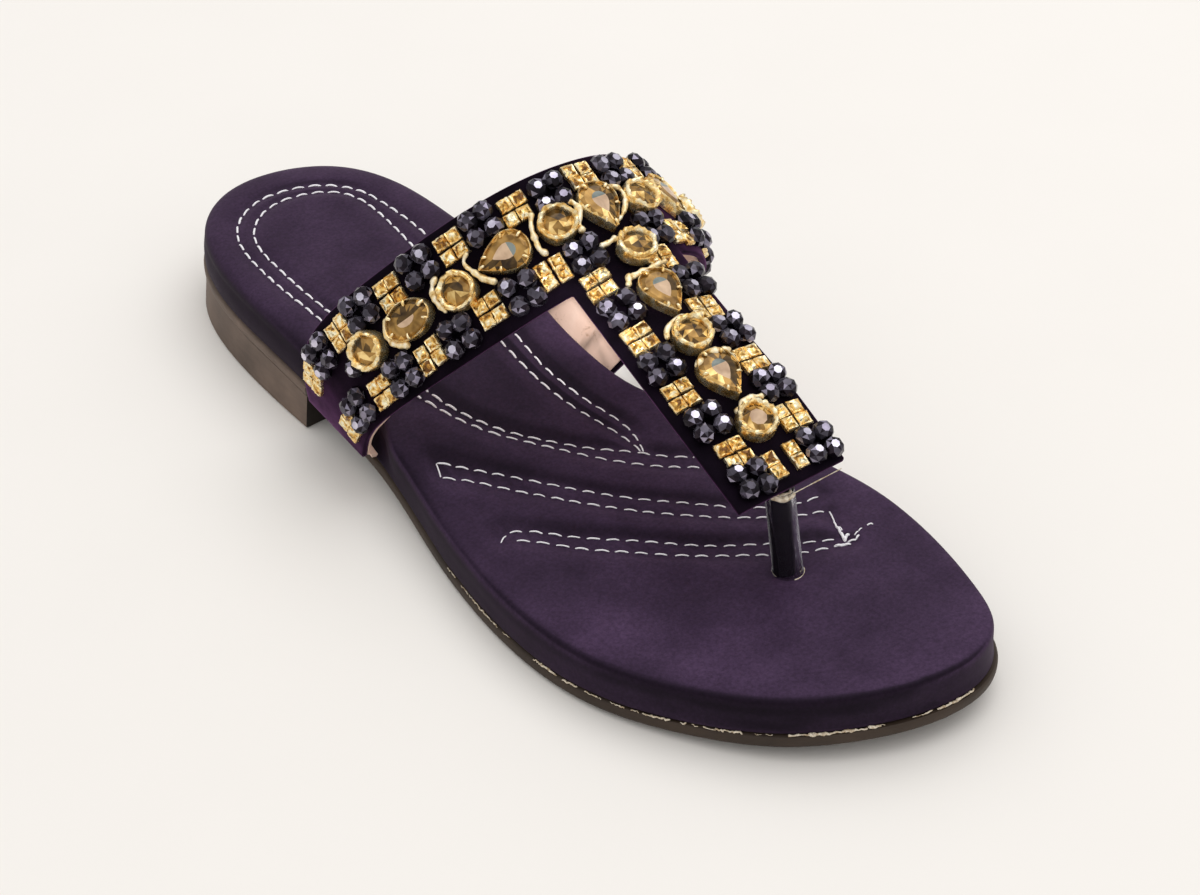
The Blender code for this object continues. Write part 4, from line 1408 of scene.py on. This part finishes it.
def square_cell(rng):
    """One square crystal in its gold cup: a rim and a cut top inside it."""
    half = CELL / 2
    size = len(CELL_LINES)
    middle = size // 2
    verts = []
    for i, u in enumerate(CELL_LINES):
        for j, v in enumerate(CELL_LINES):
            ring = max(abs(i - middle), abs(j - middle))
            most = CELL_SHAKE if ring < 3 else CELL_RIM_SHAKE
            shake = rng.uniform(-most, most, 3)
            verts.append((u * half + shake[0], v * half + shake[1],
                          CELL_HEIGHT * CELL_LEVELS[ring] + shake[2]))
    faces = []
    picks = []
    for i in range(size - 1):
        for j in range(size - 1):
            a = i * size + j
            b, c, d = a + size, a + size + 1, a + 1
            if (i < middle) == (j < middle):
                faces += [(a, b, c), (a, c, d)]
            else:
                faces += [(a, b, d), (b, c, d)]
            ring = max(abs(i + 0.5 - middle), abs(j + 0.5 - middle))
            picks += [int(ring <= 2)] * 2
    last = size - 1
    rim = ([k for k in range(last)] + [last + k * size for k in range(last)]
           + [size * size - 1 - k for k in range(last)] + [(last - k) * size for k in range(last)])
    start = len(verts)
    count = len(rim)
    verts += [(*verts[k][:2], 0) for k in rim]
    for k in range(count):
        n = (k + 1) % count
        faces.append((rim[k], rim[n], start + n, start + k))
    faces.append(tuple(range(start, start + count)))
    return verts, faces, picks + [0] * (count + 1)


def bead_form(rng):
    """A faceted round bead lying flat, its table up."""
    sides = BEAD_SIDES
    verts = [(*polar(part_turn(i + twist, sides), BEAD_RADIUS * reach), BEAD_HEIGHT * height)
             for reach, height, twist in BEAD_RINGS for i in range(sides)]
    faces = [tuple(range(sides - 1, -1, -1))]
    for r in range(len(BEAD_RINGS) - 1):
        turned = BEAD_RINGS[r + 1][2] > BEAD_RINGS[r][2]
        for i in range(sides):
            a, b = r * sides + i, r * sides + (i + 1) % sides
            c, d = a + sides, b + sides
            faces += [(a, b, c), (b, d, c)] if turned else [(a, d, c), (a, b, d)]
    faces.append(tuple(range((len(BEAD_RINGS) - 1) * sides, len(BEAD_RINGS) * sides)))
    # Each facet takes the glass's black or a painted grey or lilac reflection; the table mostly
    # takes the painted highlight.
    picks = [int(rng.choice((0, 0, 1, 0, 1, 2))) for _ in faces]
    picks[-1] = int(rng.choice((3, 3, 2, 1)))
    tilt = random_tilt(rng, BEAD_TILT) @ Matrix.Rotation(rng.uniform(0, 6.28), 4, "Z")
    return [tilt @ Vector(v) for v in verts], faces, picks


def add_cells(heap, matrix, columns, rng, tree):
    """Two by two square crystals, or a lone pair; each pair is soldered together."""
    for column in columns:
        turn = Matrix.Rotation(rng.uniform(-0.07, 0.07), 4, "Z")
        slide = rng.uniform(-0.35, 0.35)
        for half in (-0.5, 0.5):
            local = Matrix.Translation((half * (CELL_PITCH - 0.15) + slide,
                                        column * (CELL_PITCH + 0.2), 0))
            place = seated(matrix @ local @ turn, CELL * 0.5, tree)
            form = square_cell(rng)
            heap.add(*form, place @ random_tilt(rng, CELL_TILT))


def build_small_stones(tree):
    rng = np.random.default_rng(SEED + 2)
    heap = Heap()
    for matrix in strap_frames(BAND_SQUARES, BAR_SQUARES):
        quarter = Matrix.Rotation(pi / 2 * int(rng.integers(0, 2)), 4, "Z")
        add_cells(heap, matrix @ quarter, (-0.5, 0.5), rng, tree)
    for matrix in strap_frames((), BAR_PAIRS):
        add_cells(heap, matrix, (0,), rng, tree)
    dress(heap.piece("square_crystals", [gold(), foil()]), "gold_metal")
    heap = Heap()
    spots = [matrix @ Matrix.Translation((sx * BEAD_PITCH_ALONG + rng.uniform(-0.25, 0.25),
                                          sy * BEAD_PITCH_ACROSS + rng.uniform(-0.2, 0.2), 0))
             for matrix in strap_frames(BAND_BEADS, BAR_BEADS)
             for sx in (-0.5, 0.5) for sy in (-0.5, 0.5)]
    for spot in spots + strap_frames(LONE_BEADS, ()):
        place = seated(spot, BEAD_RADIUS * 0.5, tree)
        heap.add(*bead_form(rng), place)
    dress(heap.piece("gunmetal_beads", [bead_glass(*colours) for colours in BEAD_COLOURS_AND_REFLECTIONS]),
          "crystal")


def build_wires(tree):
    """Twisted gold wire that curls round the set stones."""
    rng = np.random.default_rng(SEED + 4)
    heap = Heap()
    rows = [(WIRE_RADIUS, strap_frames(row, ())) for row in BAND_WIRES]
    rows += [(WIRE_RADIUS_THIN, strap_frames(row, ())) for row in THIN_WIRES]
    rows += [(WIRE_RADIUS, strap_frames((), row)) for row in BAR_WIRES]
    for radius, row in rows:
        points = [seated(matrix, 0.5, tree) @ Vector((0, 0, WIRE_HEIGHT)) for matrix in row]
        path = curve_points([tuple(p) for p in points], 0.4)
        heap.add(*tube(path, radius * rng.uniform(0.92, 1.08), 10, 0.75, path[0][0]))
    dress(heap.piece("gold_wires", [wire_gold()], smooth=True), "gold_metal")


def stone_outline(kind, margin, count):
    length, width = STONE_SIZES[kind]
    points = []
    for i in range(count):
        angle = part_turn(i, count)
        x = (length / 2 - margin) * cos(angle)
        y = (width / 2 - margin) * sin(angle)
        if kind == "drop":
            y *= (1 - 0.48 * cos(angle) - 0.2 * cos(angle) ** 2) / 1.06
        points.append((x, y))
    return points


def bezel_form(kind, seed, rope):
    """A gold cup round a stone with a hammered lip; a rope's turns show on some."""
    height, wall = BEZELS[kind]
    rings = []
    for inset, level in BEZEL_PROFILE:
        ring = []
        for i, (x, y) in enumerate(stone_outline(kind, inset * wall, BEZEL_SEGMENTS)):
            angle = part_turn(i, BEZEL_SEGMENTS)
            wave = ripple(*polar(angle, 3), inset, LIP_WAVE, seed)
            crimp = cos(angle * CRIMPS + ROPE_TWIST * inset * rope)
            scale = 1 + BEZEL_WAVER[kind] * wave
            jag = LONG_LIP_JAG * wave
            if kind == "round":
                jag = ROUND_LIP_JAG * wave + CRIMP_JAG * crimp
                if level > 0.5:
                    scale += (0.03 * rope + 0.035 * (inset > 0.6)) * crimp
            ring.append((x * scale, y * scale, level * (height + jag * (level > 0.8))))
        rings.append(ring)
    return capped_rings(rings)


def prong_forms(kind, rng):
    """Small gold claws on the lip that lean in over the stone."""
    height, wall = BEZELS[kind]
    count = PRONGS[kind]
    forms = []
    for i in range(count):
        share = (i + 0.35 + rng.uniform(-0.12, 0.12)) / count
        outer, inner = (stone_outline(kind, margin, 72)[int(share * 72) % 72]
                        for margin in (wall * 0.35, wall + PRONG_REACH))
        middle = [(a + b) / 2 for a, b in zip(outer, inner)]
        path = [(*spot, height * level)
                for spot, level in zip((outer, middle, inner), PRONG_LEVELS)]
        forms.append(tube(path, rng.uniform(*PRONG_RADIUS), 7, 0.5, share * 9))
    return forms


def round_gem(rng, rope):
    """A stone cut to a low point: smoky on its far side, with painted golden glints on its near
    side.
    """
    height, wall = BEZELS["round"]
    count = ROUND_GEM_SIDES
    girdle = stone_outline("round", wall * 0.96, count)
    verts = [(x * r, y * r, height * (h + rng.uniform(-0.03, 0.03))) for r, h in ROUND_GEM_RINGS
             for x, y in girdle]
    faces = []
    picks = []
    turn = rng.uniform(0.2, 1)
    for i in range(count):
        j = (i + 1) % count
        side = sin(part_turn(i + 0.5, count) + turn)
        choices = (SMOKE, BROWN, SMOKE) if side > 0.3 else (GOLD_GLINT, BROWN, GOLD_GLINT)
        if abs(side) < 0.3:
            choices = (BROWN, SMOKE)
        pick = int(rng.choice(choices))
        faces += [(i, j, count + i), (j, count + j, count + i)]
        picks += [int(rng.choice((BROWN, SMOKE, GOLD_GLINT))), int(rng.choice((pick, BROWN)))]
        if not rope:
            faces.append((count + i, count + j, 2 * count))
            picks.append(pick)
    if rope:
        faces.append(tuple(range(count, 2 * count)))
        picks.append(PALE_REFLECTION)
    else:
        verts.append((0, 0, height * ROUND_GEM_POINT))
    return verts, faces, picks


def long_gem(kind, rng):
    """An oval or drop with a wide table, in part a painted pale reflection; the blunt end of the
    table has a painted teal reflection.
    """
    height, wall = BEZELS[kind]
    count = LONG_GEM_SIDES
    girdle = stone_outline(kind, wall * 0.92, count)
    table, shift = LONG_GEM_TABLES[kind]
    low, middle, top = (height * level for level in LONG_GEM_LEVELS)
    verts = [(x, y, low) for x, y in girdle]
    verts += [((x + u) / 2 * 0.8 + shift * 0.4, (y + v) / 2 * 0.8, middle)
              for (x, y), (u, v) in zip(girdle, girdle[1:] + girdle[:1])]
    verts += [(x * table + shift, y * table * 0.92, top) for x, y in girdle]
    faces = []
    picks = []
    for i in range(count):
        j = (i + 1) % count
        a, b, c, d = count + i, count + j, 2 * count + i, 2 * count + j
        far = sin(part_turn(i + 0.5, count)) > 0
        choices = (SMOKE, BROWN, BROWN, SMOKE) if far else (BROWN, GOLD_GLINT, BROWN, BROWN)
        faces += [(i, j, a), (a, j, b), (a, b, d), (a, d, c)]
        if i % 3 == 0:
            base = int(rng.choice(choices))
        picks += [int(rng.choice((GOLD_GLINT, BROWN, base))), base, int(rng.choice((base, BROWN))), base]
    half = count // 2
    parts = ((half - 3, half + 3), (half + 3, half - 3 + count))
    if kind == "oval":
        parts = ((0, half), (half, count))
    faces += [tuple(2 * count + i % count for i in range(first, last + 1)) for first, last in parts]
    picks += [SMOKE if kind == "oval" else TEAL_REFLECTION, PALE_REFLECTION]
    return verts, faces, picks


def build_set_stones(tree):
    rng = np.random.default_rng(SEED + 3)
    places = [(name, kind, band_frame(p, s, turn)) for name, kind, p, s, turn in BAND_STONES]
    places += [(name, kind, bar_frame(a, s, turn)) for name, kind, a, s, turn in BAR_STONES]
    bezels = Heap()
    gems = Heap()
    for index, (name, kind, matrix) in enumerate(places):
        place = seated(matrix, STONE_SIZES[kind][1] / 2, tree)
        rope = 1 if name == ROPED_STONE else 0
        for form in [bezel_form(kind, 5 + index, rope)] + prong_forms(kind, rng):
            bezels.add(*form, place=place)
        gems.add(*(round_gem(rng, rope) if kind == "round" else long_gem(kind, rng)), place)
    piece = bezels.piece("stone_bezels", [gold()], smooth=True, sharp=50)
    dress(piece, "gold_metal", *["setting_" + name for name, _, _ in places])
    piece = gems.piece("stone_gems", [crystal_glass(*colours) for colours in CRYSTAL_COLOURS])
    dress(piece, "crystal", *["crystal_" + name for name, _, _ in places])


# ---------------------------------------------------------------- toe post

def bar_underside(x, y):
    back = BAR(0.8)
    front = BAR(1)
    slope = (front[2] - back[2]) / (front[1] - back[1])
    across = (front[0] - x) / (front[0] - front[3])
    edge_y = front[1] + (front[4] - front[1]) * across
    edge_z = front[2] + (front[5] - front[2]) * across
    return edge_z + slope * (y - edge_y) - WALL * sqrt(1 + slope * slope)


def post_rings(profile, foot):
    """Rings of the toe post from (radius, share of its height); the top follows the bar."""
    top = bar_underside(*POST_TOP)
    rings = []
    for radius, share in profile:
        cx, cy = (a + (b - a) * share for a, b in zip(POST_FOOT, POST_TOP))
        ring = []
        for i in range(POST_SEGMENTS):
            dx, dy = polar(part_turn(i, POST_SEGMENTS), radius)
            z = foot + (top - foot) * share
            if share == 1:
                z = bar_underside(cx + dx, cy + dy) - POST_TOP_GAP
            ring.append((cx + dx, cy + dy, z))
        rings.append(ring)
    return rings


def build_toe_post():
    outside = [(SLEEVE_RADIUS + more, share) for more, share in SLEEVE_OUTSIDE]
    bore = [(SLEEVE_BORE + more, share) for more, share in SLEEVE_INSIDE]
    rings = post_rings(outside + bore, footbed_top(POST_FOOT[1]) - SLEEVE_SUNK)
    sleeve = make_piece("post_sleeve", *open_rings(rings + rings[:1]), [vinyl()], sharp=50)
    dress(sleeve, "post_vinyl", "toe_post_sleeve")
    rings = post_rings([(CORE_RADIUS * share, up) for share, up in CORE_PROFILE],
                       footbed_bottom(POST_FOOT[1]))
    core = make_piece("post_cord", *capped_rings(rings), [cord()], sharp=50)
    dress(core, "post_cord", "toe_post_core")


def build_post_glue():
    """Dried glue where the post meets the bar and the footbed, and along the bar's edge."""
    rng = np.random.default_rng(SEED + 5)
    heap = Heap()
    for ring, reach in enumerate((SLEEVE_RADIUS - 0.5, SLEEVE_RADIUS + 0.1)):
        path = []
        for k in range(13):
            angle = radians(BAR_GLUE_START + BAR_GLUE_TURN * k / 12)
            dx, dy = polar(angle, reach + rng.uniform(-0.15, 0.15))
            x, y = POST_TOP[0] + dx, POST_TOP[1] + dy
            path.append((x, y, bar_underside(x, y) - 0.55 - 0.3 * ring))
        heap.add(*tube(path, 0.5, 7, 0.8, 3 + ring))
    foot = footbed_top(POST_FOOT[1]) - 0.2
    for first, last, thick in FOOT_GLUE:
        arc = [polar(radians(a), SLEEVE_RADIUS + 0.1) for a in range(first, last, 12)]
        heap.add(*tube([(POST_FOOT[0] + dx, POST_FOOT[1] + dy, foot) for dx, dy in arc],
                       thick, 6, 0.7, 5))
    front = BAR(1)
    edge = [front[:2] * (1 - share) + front[3:5] * share for share in np.linspace(0.5, 0.97, 12)]
    heap.add(*tube([(x, y, bar_underside(x, y) - 0.05) for x, y in edge], 0.11, 6, 0.7, 9))
    dress(heap.piece("post_glue", [glue()], smooth=True), "post_vinyl")


# ---------------------------------------------------------------- stage

def aim(obj, place, target):
    obj.location = place
    obj.rotation_euler = (Vector(target) - Vector(place)).to_track_quat("-Z", "Y").to_euler()


def build_stage():
    mesh = bpy.data.meshes.new("floor")
    corners = [(x * FLOOR_HALF, y * FLOOR_HALF, 0) for x, y in ((-1, -1), (1, -1), (1, 1), (-1, 1))]
    mesh.from_pydata(corners, [], [(0, 1, 2, 3)])
    mesh.materials.append(floor_paper())
    floor = linked("floor", mesh)
    floor.location.z = -FLOOR_DROP


def build_world():
    """A soft studio sky, brightest overhead."""
    scene = bpy.context.scene
    world = bpy.data.worlds.new("studio")
    scene.world = world
    world.use_nodes = True
    tree = world.node_tree
    background = tree.nodes["Background"]
    split = add_node(tree, "ShaderNodeSeparateXYZ")
    place = add_node(tree, "ShaderNodeTexCoord").outputs["Generated"]
    tree.links.new(place, split.inputs["Vector"])
    colour = ramp(tree, value_ramp(tree, split.outputs["Z"], 0, 1, -0.2, 1), SKY)
    tree.links.new(colour, background.inputs["Color"])
    background.inputs["Strength"].default_value = SKY_STRENGTH
    scene.view_settings.view_transform = "Standard"


def build_lights():
    box = bpy.data.lights.new("softbox_key", "AREA")
    box.shape = "RECTANGLE"
    box.size, box.size_y = SOFTBOX_SIZE
    box.energy = SOFTBOX_WATTS
    aim(linked("softbox_key", box), SOFTBOX_PLACE, (0, 0, 0))
    beam = bpy.data.lights.new("lining_fill", "SPOT")
    beam.energy = FILL_WATTS
    beam.spot_size = radians(FILL_ANGLE)
    beam.spot_blend = 0.5
    beam.shadow_soft_size = 0.01
    target = to_row(FILL_TARGET)
    aim(linked("lining_fill", beam), target + Vector(FILL_OFFSET), target)


def build_camera():
    data = bpy.data.cameras.new("camera")
    data.lens = CAMERA_LENS
    data.sensor_width = 36
    data.clip_start = 0.01
    camera = linked("camera", data)
    place = to_row(CAMERA_PLACE)
    back = (place - to_row(CAMERA_TARGET)).normalized()
    level = Vector((0, 0, 1)).cross(back).normalized()
    up = back.cross(level)
    roll = radians(CAMERA_ROLL)
    right = level * cos(roll) + up * sin(roll)
    above = up * cos(roll) - level * sin(roll)
    turn = Matrix((right, above, back)).transposed().to_4x4()
    camera.matrix_world = Matrix.Translation(place) @ turn
    bpy.context.scene.camera = camera


def main():
    for build in (build_stage, build_world, build_lights, build_camera, build_outsole, build_heel):
        build()
    build_stitches(build_footbed())
    build_seam()
    tree = surface_finder(build_strap())
    for build in (build_small_stones, build_set_stones, build_wires):
        build(tree)
    build_toe_post()
    build_post_glue()


main()
